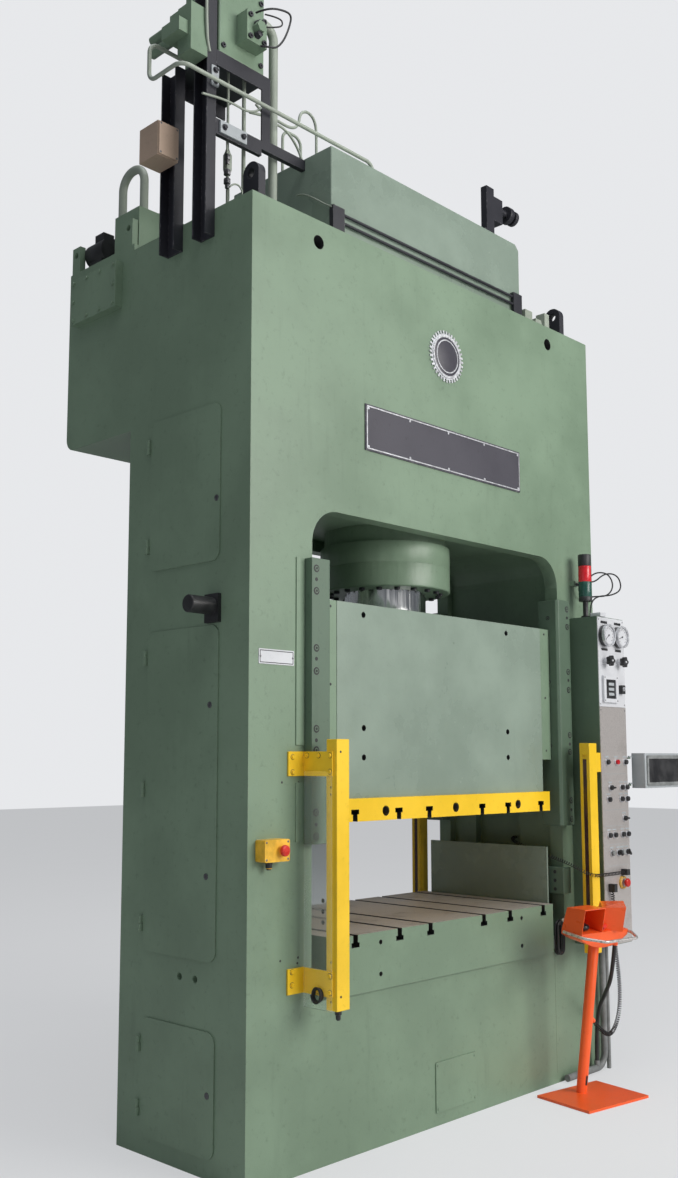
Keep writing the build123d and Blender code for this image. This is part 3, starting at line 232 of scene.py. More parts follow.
GREEN = (0.192, 0.276, 0.190)
# Lit and shaded copies of GREEN, for painted light and painted shade on some green nodes
GREEN_LIT_COPY = (0.250, 0.318, 0.262)
GREEN_SHADED_COPY = (0.105, 0.160, 0.112)
ENAMELS = {
    "green_paint": dict(colour=GREEN, roughness=0.36, streak=0.22),
    "pale_green": dict(colour=GREEN_LIT_COPY, roughness=0.28, dirt=0.15, streak=0.12),
    "deep_green": dict(colour=GREEN_SHADED_COPY, roughness=0.40, streak=0.22),
    "yellow_paint": dict(colour=(0.93, 0.59, 0.020), roughness=0.33, dirt=0.25),
    "orange_paint": dict(colour=(0.97, 0.118, 0.018), roughness=0.30, dirt=0.2),
    "black_paint": dict(colour=(0.020, 0.020, 0.028), roughness=0.45, worn=(0.30, 0.29, 0.30), wear=0.6),
    "beige_paint": dict(colour=(0.45, 0.33, 0.25), roughness=0.45),
    "grey_paint": dict(colour=(0.42, 0.45, 0.47), roughness=0.42, dirt=0.2),
    "white_enamel": dict(colour=(0.66, 0.67, 0.70), roughness=0.32, dirt=0.2, wear=0.3),
    "plate_enamel": dict(colour=(0.055, 0.052, 0.068), roughness=0.42, worn=(0.5, 0.5, 0.5)),
    "gauge_case": dict(colour=(0.05, 0.05, 0.055), roughness=0.35),
    "pipe_steel": dict(colour=(0.34, 0.38, 0.32), roughness=0.34, worn=(0.4, 0.38, 0.35)),
}
ALONG_X = (40, 1, 1)
ALONG_Z = (1, 1, 40)
EVEN = (1, 1, 1)
METALS = {
    "table_steel": dict(colour=(0.56, 0.52, 0.49), roughness=0.42, stretch=ALONG_X, stains=0.55, metal=0.45),
    "chrome_piston": dict(colour=(0.90, 0.90, 0.93), roughness=0.13, stretch=(2, 2, 0.03), stains=0.02),
    "dark_steel": dict(colour=(0.16, 0.16, 0.17), roughness=0.42, stretch=ALONG_Z, stains=0.5),
    "badge_metal": dict(colour=(0.62, 0.63, 0.66), roughness=0.36, stretch=EVEN, stains=0.15, metal=0.5),
    "panel_aluminium": dict(colour=(0.60, 0.56, 0.54), roughness=0.32, stretch=ALONG_X, stains=0.15,
                            metal=0.55),
    "rail_steel": dict(colour=(0.62, 0.60, 0.58), roughness=0.30, stretch=EVEN, stains=0.3, metal=0.6),
}
PLASTICS = {
    "window_dark": dict(colour=(0.060, 0.022, 0.018), roughness=0.15),
    "black_plastic": dict(colour=(0.018, 0.018, 0.020), roughness=0.4),
    "grey_plastic": dict(colour=(0.20, 0.21, 0.21), roughness=0.5),
    "cord_rubber": dict(colour=(0.014, 0.014, 0.016), roughness=0.5),
    "yellow_plastic": dict(colour=(0.80, 0.45, 0.03), roughness=0.35),
    "red_plastic": dict(colour=(0.62, 0.022, 0.012), roughness=0.25),
    "green_lens": dict(colour=(0.010, 0.060, 0.045), roughness=0.15),
    "red_lens": dict(colour=(0.55, 0.012, 0.020), roughness=0.15),
}
materials = {"clear_plastic": clear("clear_plastic", (0.93, 0.96, 0.95), roughness=0.06)}
for maker, looks in ((enamel, ENAMELS), (steel, METALS), (plastic, PLASTICS)):
    for name, look in looks.items():
        materials[name] = maker(name, **look)

# Paints that one record slot is shown in, and the nodes that wear them: lighter copies of the green are painted
# light (a painted sheen on the slide, the lit front of the crown box, the guard), darker copies are painted
# shade (the gibs and the control cabinet)
LIT_AND_SHADED_PAINTS = {"slide_body": "pale_green", "crown_box": "pale_green", "column_guard": "pale_green",
               "gibs_front": "deep_green", "gibs_rear": "deep_green", "control_cabinet": "deep_green"}
node_slots = {entry["node"]: entry["material_slot"] for entry in frame["record"]["subparts"]}
for name, node in nodes.items():
    node.data.materials.clear()
    node.data.materials.append(materials[LIT_AND_SHADED_PAINTS.get(name, node_slots[name])])


# CAD nodes: joined vertices and rounded edges by modifiers, without touching their meshes
SHARP_ANGLE = math.radians(35)
WELD_REACH = 0.00005
SAME_POINT = 0.000005


def soften(node, width):
    """Round a node's sharp edges with modifiers."""
    weld = node.modifiers.new("weld", "WELD")
    weld.merge_threshold = WELD_REACH
    bevel = node.modifiers.new("bevel", "BEVEL")
    bevel.width = width
    bevel.segments = 2
    bevel.limit_method = "ANGLE"
    bevel.angle_limit = SHARP_ANGLE
    bevel.harden_normals = True
    bevel.use_clamp_overlap = True


PLAIN_EDGE = 0.0012
EDGE_WIDTHS = {
    "press_frame": 0.003, "slide_body": 0.003, "slide_plate": 0.002, "table_plate": 0.002,
    "crown_box": 0.006, "rear_tank": 0.004, "gibs_front": 0.003, "gibs_rear": 0.003,
    "control_cabinet": 0.004, "light_posts": 0.003, "control_stand": 0.002, "stand_head": 0.0015,
    "screen_box": 0.004, "valve_manifold": 0.003, "pump_block": 0.004,
}
NO_EDGES = {"side_screens", "crown_pipes", "oil_pipes", "stand_hose", "guard_rail", "floor_conduit",
            "curly_cords", "cable_coil", "signal_cable"}
for name, node in nodes.items():
    if name not in NO_EDGES:
        soften(node, EDGE_WIDTHS.get(name, PLAIN_EDGE))

# Shapes of the small pieces, placed in millimetres on the faces of the model
MM = 0.001
FACINGS = {
    "front": ((1, 0, 0), (0, 0, 1), (0, -1, 0)),
    "back": ((-1, 0, 0), (0, 0, 1), (0, 1, 0)),
    "left": ((0, -1, 0), (0, 0, 1), (-1, 0, 0)),
    "right": ((0, 1, 0), (0, 0, 1), (1, 0, 0)),
    "top": ((1, 0, 0), (0, 1, 0), (0, 0, 1)),
    "bottom": ((1, 0, 0), (0, -1, 0), (0, 0, -1)),
}


def facing(side, x, y, z):
    """A frame at a point whose third axis looks out of a side of the machine, scaled from millimetres."""
    axes = Matrix(FACINGS[side]).transposed().to_4x4()
    return Matrix.Translation((x * MM, y * MM, z * MM)) @ axes @ Matrix.Scale(MM, 4)


def oriented(origin, across, up):
    """A frame at a point, in millimetres, from its first two axes."""
    across, up = Vector(across), Vector(up)
    axes = Matrix((across, up, across.cross(up))).transposed().to_4x4()
    return Matrix.Translation(Vector(origin) * MM) @ axes @ Matrix.Scale(MM, 4)


def grid(side, xs, ys, zs):
    """Places on a side, at every pairing of the given positions."""
    return [(side, x, y, z) for x in xs for y in ys for z in zs]


def skin(bm, rings, capped=True):
    """Join rings of points, each with the same count, and close the ends if they are capped."""
    made = [[bm.verts.new(point) for point in ring] for ring in rings]
    count = len(made[0])
    for low, high in zip(made, made[1:]):
        for i in range(count):
            j = (i + 1) % count
            bm.faces.new((low[i], low[j], high[j], high[i]))
    if capped:
        bm.faces.new(list(reversed(made[0])))
        bm.faces.new(made[-1])


def turned(bm, place, profile, steps=24):
    """A turned shape from (radius, height) pairs, where a third item is the ring's count of flats."""
    rings = []
    for radius, height, *flats in profile:
        ring = []
        for i in range(steps):
            angle = math.tau * i / steps
            reach = radius
            if flats:
                half = math.pi / flats[0]
                reach = radius * math.cos(half) / math.cos(angle % (2 * half) - half)
            ring.append(place @ Vector((reach * math.cos(angle), reach * math.sin(angle), height)))
        rings.append(ring)
    skin(bm, rings)


def outline(width, height, radius, steps=4):
    """Points round a rectangle with rounded corners."""
    points = []
    for corner, (sx, sy) in enumerate(((1, 1), (-1, 1), (-1, -1), (1, -1))):
        for i in range(steps + 1):
            angle = math.pi / 2 * (corner + i / steps)
            points.append((sx * (width / 2 - radius) + radius * math.cos(angle),
                           sy * (height / 2 - radius) + radius * math.sin(angle)))
    return points


def plate(bm, place, width, height, depth, radius=3.0, chamfer=0.6, base=0.0):
    """A plate with rounded corners and a chamfered rim, standing out of its place."""
    full = outline(width, height, radius)
    inner = outline(width - 2 * chamfer, height - 2 * chamfer, max(radius - chamfer, 0.2))
    levels = ((full, base), (full, base + depth - chamfer), (inner, base + depth))
    skin(bm, [[place @ Vector((x, y, z)) for x, y in ring] for ring, z in levels])


def rim(bm, place, width, height, band, depth, radius=3.0):
    """A raised band round a rectangle."""
    outer = outline(width, height, radius)
    inner = outline(width - 2 * band, height - 2 * band, max(radius - band, 0.3))
    levels = ((outer, 0), (outer, depth), (inner, depth), (inner, 0), (outer, 0))
    skin(bm, [[place @ Vector((x, y, z)) for x, y in ring] for ring, z in levels], capped=False)


def ring_shape(bm, place, inner, outer, depth, steps=48):
    """A flat ring with a rounded top edge."""
    lip = min(0.8, depth / 3)
    profile = ((outer, 0), (outer, depth - lip), (outer - lip, depth), (inner + lip, depth),
               (inner, depth - lip), (inner, 0), (outer, 0))
    round_points = [(math.cos(math.tau * i / steps), math.sin(math.tau * i / steps)) for i in range(steps)]
    rings = [[place @ Vector((r * x, r * y, h)) for x, y in round_points] for r, h in profile]
    skin(bm, rings, capped=False)


def piece(name, bm, slot, body="press"):
    """Finish a mesh as a named piece that rides on a body and takes a slot's material."""
    bmesh.ops.remove_doubles(bm, verts=bm.verts, dist=SAME_POINT)
    mesh = bpy.data.meshes.new(name)
    bm.to_mesh(mesh)
    bm.free()
    for face in mesh.polygons:
        face.use_smooth = True
    mesh.set_sharp_from_angle(angle=SHARP_ANGLE)
    mesh.materials.append(materials[slot])
    made = bpy.data.objects.new(name, mesh)
    scene.collection.objects.link(made)
    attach(made, body)
    return made


def shaped(name, slot, shape, place, *sizes, body="press", **more):
    """One shape as a piece of its own."""
    bm = bmesh.new()
    shape(bm, place, *sizes, **more)
    return piece(name, bm, slot, body)


def cap_screw(bm, place, radius, proud):
    """The head of a hexagon-socket screw."""
    socket = radius * 0.52
    floor = max(0.4, proud - radius * 0.5)
    turned(bm, place, ((radius, 0), (radius, proud - 0.5), (radius - 0.7, proud), (socket, proud, 6),
                       (socket, floor, 6)))


def hex_screw(bm, place, radius, height):
    """A hexagon screw head on its washer."""
    turned(bm, place, ((radius * 1.25, 0), (radius * 1.25, 1.5), (radius, 1.6, 6), (radius, height - 0.8, 6),
                       (radius * 0.86, height)))


def slot_screw(bm, place, radius, proud=1.0):
    """A low round-headed screw."""
    turned(bm, place, ((radius, 0), (radius, proud * 0.4), (radius * 0.8, proud * 0.85),
                       (radius * 0.3, proud)), 16)


def screws(name, shape, places, radius, slot, body="press", **more):
    """Many screws of one kind as one piece. Places are (side, x, y, z)."""
    bm = bmesh.new()
    for side, x, y, z in places:
        shape(bm, facing(side, x, y, z), radius, **more)
    return piece(name, bm, slot, body)


def thin_tube(name, points, diameter, slot):
    """A bent tube along given points, in millimetres."""
    curve = bpy.data.curves.new(name, "CURVE")
    curve.dimensions = "3D"
    spline = curve.splines.new("NURBS")
    spline.points.add(len(points) - 1)
    for point, place in zip(spline.points, points):
        point.co = (*(value * MM for value in place), 1)
        point.radius = diameter * MM / 2
    spline.order_u = 3
    spline.use_endpoint_u = True
    spline.resolution_u = 8
    curve.bevel_depth = 1
    curve.bevel_resolution = 4
    curve.use_fill_caps = True
    curve.materials.append(materials[slot])
    made = bpy.data.objects.new(name, curve)
    scene.collection.objects.link(made)
    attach(made, "press")
    return made


def paint_faces(node, material, test):
    """Give the faces of a node that pass a test another material."""
    node.data.materials.append(material)
    index = len(node.data.materials) - 1
    for face in node.data.polygons:
        if test(face.center / MM):
            face.material_index = index


# Outer faces that small pieces stand on, in millimetres along x or y
FRONT = -405
PLATE_FACE = -411
BRACKET_FACE = -413
GIB_FACE = -450
STOP_BOX_FACE = -460
PANEL = -585
POST_FACE = -591
DIAL_FACE = -613
SCREEN_FACE = -667
TOWER_FACE = -167
RELIEF_FACE = -237
DOOR_SIDE = -1255.5
TANK_SIDE = -1290
BRACKET_SIDE = -959
POST_SIDE = -951
SIDES = (-1, 1)

# Faces of one solid in another finish, told by where their middles lie; some of them are painted shade

# The table: painted round its sides, with darker steel in its T-slots as painted shade
paint_faces(nodes["table_plate"], materials["green_paint"],
            lambda at: abs(at.y) > 419 or abs(at.x) > 779 or at.z < 640)
paint_faces(nodes["table_plate"], materials["dark_steel"],
            lambda at: abs(at.y) < 419.5 and abs(at.x) < 779 and 640 < at.z < 874)

# Painted shade: black insides of the slide's holes, and darker steel in its T-slots
paint_faces(nodes["slide_body"], materials["black_plastic"],
            lambda at: -396.5 < at.y < -340 and abs(at.x) < 740 and at.z < 2260)
paint_faces(nodes["slide_plate"], materials["dark_steel"],
            lambda at: abs(at.y) < 400 and 1340 < at.z < 1395 and abs(at.x) < 760)

# Pipes along the crown's front painted black: painted shade on pipes that are green, with their black clamps; a
# white counter, and the two cord sockets of the lower panel
paint_faces(nodes["crown_pipes"], materials["black_paint"], lambda at: at.y < -340)
paint_faces(nodes["counter"], materials["white_enamel"], lambda at: True)
paint_faces(nodes["lower_panel"], materials["black_plastic"],
            lambda at: at.y < -588 and (abs(at.x - 1052) < 16 and 920 < at.z < 970
                                        or abs(at.x - 1180) < 17 and 998 < at.z < 1034))

# The pocket inside the right column; the two round holes of the crown, black inside as painted shade; and the
# signal cable's gland
paint_faces(nodes["press_frame"], materials["black_paint"],
            lambda at: 946 < at.x < 989 and -109 < at.y < 181 and 1101 < at.z < 1309)
paint_faces(nodes["press_frame"], materials["black_plastic"],
            lambda at: math.hypot(abs(at.x) - 868, at.z - 3811) < 31.5 and -404.5 < at.y < -340)
paint_faces(nodes["press_frame"], materials["black_paint"],
            lambda at: 1055 < at.x < 1141 and -462 < at.y < -380 and 2480 < at.z < 2576)

# Screws of the guide rails: groups of a small one between two big ones
SCREW_GROUPS = ((2376, 2331, 2283), (2048, 2004, 1954), (1720, 1674, 1634), (1386, 1338, 1291))
BIG_BORE, SIDE_BORE, LOW_BORE, SMALL_BORE = 16, 11, 9, 8
GIB_SCREWS = [("front", side * 924, GIB_FACE, z, radius) for side in SIDES for group in SCREW_GROUPS
              for z, radius in zip(group, (BIG_BORE, SMALL_BORE, BIG_BORE))]
for y, heights, radius in ((-390, (2327, 1994, 1665), SIDE_BORE), (-400, (1028, 985, 942), LOW_BORE)):
    GIB_SCREWS += [(turn, x, y, z, radius) for turn, x in (("left", 835), ("right", -835)) for z in heights]
# Black discs in the counterbores are painted shade; the heads wear the darker green copy, painted shade like
# the gibs
bores = bmesh.new()
heads = bmesh.new()
for side, x, y, z, radius in GIB_SCREWS:
    place = facing(side, x, y, z)
    turned(bores, place, ((radius, 0), (radius, 0.5), (radius - 0.3, 0.8)), 28)
    if radius >= SIDE_BORE:
        ring_shape(heads, place, radius * 0.34, radius * 0.64, 2, 24)
piece("gib_screw_bores", bores, "black_plastic")
piece("gib_screw_heads", heads, "deep_green")

# Raised pads beside the left and right guide rails
bm = bmesh.new()
for side in SIDES:
    for low, high in ((1270, 1506), (1654, 2420)):
        plate(bm, facing("front", side * 975, FRONT, (low + high) / 2), 47, high - low, 5, 2, 1)
piece("rail_pads", bm, "green_paint")

# Cover strips beside the slide's front, over its guide shoes, and their screws
SLIDE_FACE = -396
shoe_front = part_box("slide_shoes")[0].y / MM
bm = bmesh.new()
for side in SIDES:
    plate(bm, facing("front", side * 790, shoe_front, 1929.5), 78, 671, shoe_front - SLIDE_FACE, 2, 1)
piece("slide_edge_strips", bm, "green_paint", "slide")
screws("slide_edge_screws", slot_screw, grid("front", (-788, 788), (SLIDE_FACE,), (2238, 1909, 1640)), 6,
       "black_plastic", "slide")

# Name plate, badge and number plate, all bare
shaped("name_plate_rim", "badge_metal", rim, facing("front", 0, PLATE_FACE, 3055), 1150, 196, 5, 2.5, 6)
screws("name_plate_rivets", slot_screw,
       grid("front", (-562, -281, 0, 281, 562), (PLATE_FACE,), (2968, 3142)), 6, "badge_metal", proud=3)
BADGE_PLACE = facing("front", -5, PLATE_FACE, 3519)
BADGE_RADIUS = 94
shaped("badge_disc", "plate_enamel", turned, BADGE_PLACE,
       ((BADGE_RADIUS, 0), (BADGE_RADIUS, 2.5), (BADGE_RADIUS - 3, 4)), 64)
bm = bmesh.new()
ring_shape(bm, BADGE_PLACE @ Matrix.Translation((0, 0, 3.8)), 76, 82, 2, 64)
ring_shape(bm, BADGE_PLACE, BADGE_RADIUS, 106, 4, 64)
piece("badge_rings", bm, "badge_metal")
shaped("number_plate", "white_enamel", plate, facing("front", -1105, FRONT, 2002), 191, 60, 3, 4)
shaped("number_plate_border", "black_paint", rim, facing("front", -1105, FRONT - 3, 2002), 181, 50, 3, 0.5, 3)
screws("number_plate_screws", slot_screw, grid("front", (-1193, -1017), (FRONT - 3,), (2002,)), 5, "dark_steel")

# Stop box: cable gland and lid screws
shaped("stop_box_gland", "black_plastic", turned, facing("bottom", -1164, -432.5, 1205.5),
       ((15, 0), (15, 9, 6), (13, 10), (13, 22), (9, 28), (9, 31)))
screws("stop_box_screws", slot_screw, grid("front", (-1200, -1088), (STOP_BOX_FACE,), (1215, 1281)), 4.5,
       "dark_steel")

# Door locks and their key slots
DOOR_LOCKS = (("upper_door_leaf", -205, 2657), ("middle_door_leaf", -177, 1815),
              ("middle_door_leaf", -166, 1138), ("lower_door_leaf", -186, 310))
for number, (leaf, y, z) in enumerate(DOOR_LOCKS):
    bm = bmesh.new()
    place = facing("left", DOOR_SIDE, y, z)
    turned(bm, place, ((13, 0), (13, 1.5), (11.5, 2.5), (9, 2.5), (8, 1.2)))
    plate(bm, place, 2.4, 11, 2.0, 0.8, 0.2)
    piece(f"door_lock_{number}", bm, "dark_steel", leaf)

# Bolts and screws of the covers and the light posts' brackets
screws("tank_cover_bolts", hex_screw, grid("left", (TANK_SIDE,), (512, 618, 724, 833), (3676, 3860))
       + grid("left", (TANK_SIDE,), (512, 833), (3768,)), 9, "green_paint", height=8)
screws("inspection_screws", slot_screw, grid("front", (-126, 136), (FRONT - 5,), (70, 254)), 6, "green_paint",
       proud=3)
BRACKET_BOLTS = grid("front", (-1020,), (BRACKET_FACE,), (1607, 1547, 772, 722))
WEB_BOLTS = ((-432, 1613), (-497, 1613), (-561, 1613), (-561, 1549), (-561, 767), (-561, 704), (-494, 705))
BRACKET_BOLTS += [("left", BRACKET_SIDE, y, z) for y, z in WEB_BOLTS]
# Black rings under the yellow bracket bolts: a painted shadow round their heads
bm = bmesh.new()
for place in BRACKET_BOLTS:
    turned(bm, facing(*place), ((11.5, 0), (11.5, 0.6), (11, 0.8)))
piece("bracket_bolt_shadow_rings", bm, "black_plastic")
screws("bracket_bolts", hex_screw, BRACKET_BOLTS, 8, "yellow_paint", height=7)
# Black dots standing for small holes in the column and posts: painted shade of their insides
COLUMN_DOTS = ((-1071, 1507), (-980, 1505), (-1076, 820), (-980, 822), (-984, 801))
DOTS = [("front", x, FRONT, z) for x, z in COLUMN_DOTS]
DOTS += grid("front", (-929,), (POST_FACE,), (1627, 689))
DOTS += grid("left", (POST_SIDE,), (-561,), (1488, 1460, 669, 818))
screws("small_holes", slot_screw, DOTS, 5, "black_plastic", proud=0.6)

# Optical windows in the slots of the light posts, and the cable gland under the left one
bm = bmesh.new()
for side, turn in ((-1, "right"), (1, "left")):
    for end in SIDES:
        plate(bm, facing(turn, side * 884, end * 562, 1156), 22, 880, 2, 2)
piece("light_windows", bm, "window_dark")
shaped("light_post_gland", "black_plastic", turned, facing("bottom", -915, -562, 635),
       ((14, 0), (14, 10, 6), (14, 18, 6), (10, 20), (10, 34), (6, 40)))

# Gauges: white dials with ticks and hands, in grey rims
GAUGE_HEIGHT = 2238
DIAL_START = 225
DIAL_STEP = 10
DIAL_TICKS = 28
TICK_REACH = 42
bm = bmesh.new()
marks = bmesh.new()
rims = bmesh.new()
for x, turn in ((1063, 215), (1197, 200)):
    face = facing("front", x, DIAL_FACE, GAUGE_HEIGHT)
    turned(bm, face, ((48, 0), (48, 1)), 48)
    ring_shape(rims, facing("front", x, DIAL_FACE + 7, GAUGE_HEIGHT), 49, 58, 16)
    for tick in range(DIAL_TICKS):
        angle = math.radians(DIAL_START - tick * DIAL_STEP)
        long_tick = tick % 3 == 0
        length = 9 if long_tick else 5
        at = face @ Matrix.Rotation(angle, 4, "Z") @ Matrix.Translation((TICK_REACH - length / 2, 0, 1))
        plate(marks, at, length, 2.2 if long_tick else 1.4, 0.4, 0.3, 0.1)
    hand = face @ Matrix.Rotation(math.radians(turn), 4, "Z") @ Matrix.Translation((14, 0, 1.6))
    plate(marks, hand, 44, 2.2, 0.8, 0.8, 0.2)
    turned(marks, face, ((5, 1), (5, 3), (4, 3.6)), 16)
piece("gauge_dials", bm, "white_enamel")
piece("gauge_marks", marks, "black_paint")
piece("gauge_rims", rims, "badge_metal")

# Control panel: label strips, buttons with bezels, selectors and corner screws
bm = bmesh.new()
for x, z, width in ((1063, 2309, 64), (1197, 2309, 64), (1063, 2166, 60), (1197, 2166, 60)):
    plate(bm, facing("front", x, PANEL, z), width, 13, 1, 2, 0.3)
piece("gauge_labels", bm, "black_plastic")
screws("panel_screws", slot_screw, grid("front", (1012, 1248), (PANEL,), (2322, 1880, 1850, 672)), 4,
       "dark_steel")
PANEL_MIDDLE = 1130
BUTTON_ROWS = ((1581, (-75, 17, 102)), (1450, (-48, 59, 107)), (1390, (-68, 55, 109)), (1290, (80,)),
               (1208, (-73, -21, 57, 107)), (1117, (-51, 10, 50, 95)))
SELECTORS = {(1450, -48): 90, (1290, 80): 90, (1117, 10): 35, (1117, 95): 35}
LENSES = {(1581, 17): "red_lens", (1117, -51): "grey_plastic", (1117, 50): "grey_plastic"}
CAP_RADIUS = 12.6
bezels = bmesh.new()
caps = {slot: bmesh.new() for slot in ("black_plastic", "red_lens", "grey_plastic")}
handles = bmesh.new()
strips = bmesh.new()
for z, row in BUTTON_ROWS:
    for dx in row:
        place = facing("front", PANEL_MIDDLE + dx, PANEL, z)
        ring_shape(bezels, place, CAP_RADIUS, 18, 6, 24)
        cap = caps[LENSES.get((z, dx), "black_plastic")]
        turned(cap, place, ((CAP_RADIUS, 0), (CAP_RADIUS, 15.5), (11, 17.6), (5, 18.2)))
        if (z, dx) in SELECTORS:
            turn = Matrix.Rotation(math.radians(SELECTORS[z, dx]), 4, "Z")
            plate(handles, place @ turn, 9, 36, 9, 3, 1.5, base=18)
        plate(strips, facing("front", PANEL_MIDDLE + dx, PANEL, z + 27), 36, 8, 0.6, 1, 0.2)
for z in (1520, 1336, 1254, 1160, 1052):
    plate(strips, facing("front", PANEL_MIDDLE, PANEL, z), 214, 1.6, 0.3, 0.5, 0.1)
piece("button_bezels", bezels, "badge_metal")
piece("selector_handles", handles, "black_plastic")
piece("panel_labels", strips, "grey_paint")
for slot, bm in caps.items():
    piece(f"buttons_{slot}", bm, slot)

# Counter: its frame screws, window and drums
screws("counter_screws", slot_screw, grid("front", (1038, 1158), (-599,), (1899, 2019)), 4, "dark_steel")
shaped("counter_window", "black_plastic", plate, facing("front", 1098, -593.2, 1959), 94, 98, 1.2, 1, 0.3)
bm = bmesh.new()
for z in (1985, 1959, 1933):
    plate(bm, facing("front", 1106, -594.4, z), 52, 15, 0.8, 1, 0.2)
piece("counter_drums", bm, "grey_paint")

# Key switch, the small box on the cabinet's top, and the collar round the stop button
shaped("panel_key_switch", "black_plastic", plate, facing("front", 1213, PANEL, 1961), 34, 46, 20, 4, 1.5)
bm = bmesh.new()
place = facing("front", 1213, PANEL - 20, 1963)
ring_shape(bm, place, 7, 11, 3, 24)
plate(bm, place, 2.4, 12, 4, 0.8, 0.3)
piece("panel_key_lock", bm, "badge_metal")
shaped("cabinet_top_box", "white_enamel", plate, facing("front", 1052, -560, 2348), 54, 22, 60, 4, 1.5,
       base=-30)
bm = bmesh.new()
ring_shape(bm, facing("front", 1176, PANEL, 963), 30.2, 33, 9, 40)
ring_shape(bm, facing("front", 1176, PANEL - 10, 963), 23, 29, 1, 40)
piece("panel_stop_collar", bm, "yellow_plastic")


# Cords: each follows the route of its solid
def route_points(route):
    """Evenly close points read from a route's own curve, in millimetres."""
    probe = thin_line("probe", route)
    mesh = bpy.data.meshes.new_from_object(probe)
    line = [vertex.co.copy() / MM for vertex in mesh.vertices]
    bpy.data.objects.remove(probe)
    return line


def thin_line(name, route):
    """A route's curve without any thickness."""
    curve = bpy.data.curves.new(name, "CURVE")
    curve.dimensions = "3D"
    spline = curve.splines.new("NURBS")
    spline.points.add(len(route) - 1)
    for point, place in zip(spline.points, route):
        point.co = (*(value * MM for value in place), 1)
    spline.order_u = 3
    spline.use_endpoint_u = True
    spline.resolution_u = 24
    made = bpy.data.objects.new(name, curve)
    scene.collection.objects.link(made)
    return made


def helix(route, radius, pitch, first_normal, per_turn=12):
    """Points wound round a route at an even pitch, starting and ending on its line."""
    line = route_points(route)
    steps = [0.0]
    for a, b in zip(line, line[1:]):
        steps.append(steps[-1] + (b - a).length)
    total = steps[-1]
    count = round(total / pitch * per_turn)
    points = [line[0].copy()]
    normal = Vector(first_normal)
    at = 0
    for i in range(1, count):
        reach = total * i / count
        while steps[at + 1] < reach:
            at += 1
        along = (line[at + 1] - line[at]).normalized()
        centre = line[at].lerp(line[at + 1], (reach - steps[at]) / (steps[at + 1] - steps[at]))
        normal = (normal - along * normal.dot(along)).normalized()
        side = along.cross(normal)
        turn = math.tau * i / per_turn
        swell = radius * min(1, i / per_turn, (count - i) / per_turn)
        points.append(centre + (normal * math.cos(turn) + side * math.sin(turn)) * swell)
    points.append(line[-1].copy())
    return points


def line_length(points):
    """Length of a chain of points in metres."""
    return sum((Vector(b) - Vector(a)).length for a, b in zip(points, points[1:])) * MM


def cord_piece(name, points, diameter, resolution=8):
    """A cord's own curve, standing for the solid of that route."""
    made = thin_tube(name, points, diameter, "cord_rubber")
    made.data.splines[0].resolution_u = resolution
    return made


HOSE_ROUTE = [(853.0, -722.4, 698.4), (856.3, -701.6, 549.9), (1010, -575, 440), (1120, -440, 290),
              (1120, -440, 60)]
STAND_CORD_ROUTE = [(753.1, -656.1, 344.4), (805.5, -664.4, 291.3), (905, -658, 250), (1000, -650, 330),
                    (1045, -632, 480), (1052, -600, 700), (1052, -600, 925)]
POCKET_CORD_ROUTE = [(990, -60, 1180), (895, -60, 1180), (872, -260, 1120), (858, -470, 1075),
                     (842, -612, 1018), (1000, -606, 1016), (1165, -606, 1016)]
SIGNAL_ROUTE = [(1098, -417, 2528), (1155, -417, 2528), (1240, -419, 2612), (1395, -421, 2628),
                (1450, -424, 2560), (1375, -427, 2492), (1215, -430, 2476), (1110, -432, 2450),
                (1060, -434, 2505), (1110, -436, 2562), (1210, -438, 2545), (1330, -439, 2618),
                (1470, -439, 2622), (1510, -439, 2545), (1400, -439, 2498), (1240, -439, 2480),
                (1168, -439, 2425), (1168, -439, 2337)]

hose = cord_piece("stand_hose_skin", HOSE_ROUTE, 20)
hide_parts("stand_hose")
hose_length = line_length(route_points(HOSE_ROUTE))
signal = cord_piece("signal_cable_skin", SIGNAL_ROUTE, 8)
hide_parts("signal_cable")
signal_length = line_length(route_points(SIGNAL_ROUTE))

# Curly cords, wound round the routes of their solids
stand_turns = helix(STAND_CORD_ROUTE, 8.8, 11.0, (0, 1, 0))
stand_cord = cord_piece("stand_curly_cord", stand_turns, 4.4, resolution=3)
pocket_turns = helix(POCKET_CORD_ROUTE, 7.2, 14.0, (0, 0, 1))
pocket_cord = cord_piece("pocket_curly_cord", pocket_turns, 3.6, resolution=3)
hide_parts("curly_cords")
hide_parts("curly_cords")

# Coil of spare cable: turns side by side round a long ring, each a little different
COIL_MIDDLE = Vector((828, -424, 705))
COIL_RUN = 51
COIL_RADIUS = 25
COIL_TURNS = 6
COIL_STEPS = 24
BUNDLE_RADIUS = 10.5
coil_points = []
for i in range(COIL_TURNS * COIL_STEPS + 1):
    turn = i / COIL_STEPS
    angle = math.tau * turn
    whole = min(int(turn), COIL_TURNS - 1)
    ends = [math.tau * n / COIL_TURNS for n in (whole, min(whole + 1, COIL_TURNS - 1))]
    here, there = (Vector((math.cos(end), math.sin(end))) * BUNDLE_RADIUS for end in ends)
    offset = here.lerp(there, turn - whole)
    reach = COIL_RADIUS + offset.x
    straight = COIL_RUN * (1 if math.sin(angle) > 0 else -1) * min(1, abs(math.sin(angle)) * 3)
    at = Vector((reach * math.cos(angle), offset.y, straight + reach * math.sin(angle)))
    coil_points.append(COIL_MIDDLE + at)
coil = cord_piece("spare_cable_coil", coil_points, 8, resolution=4)
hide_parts("cable_coil")

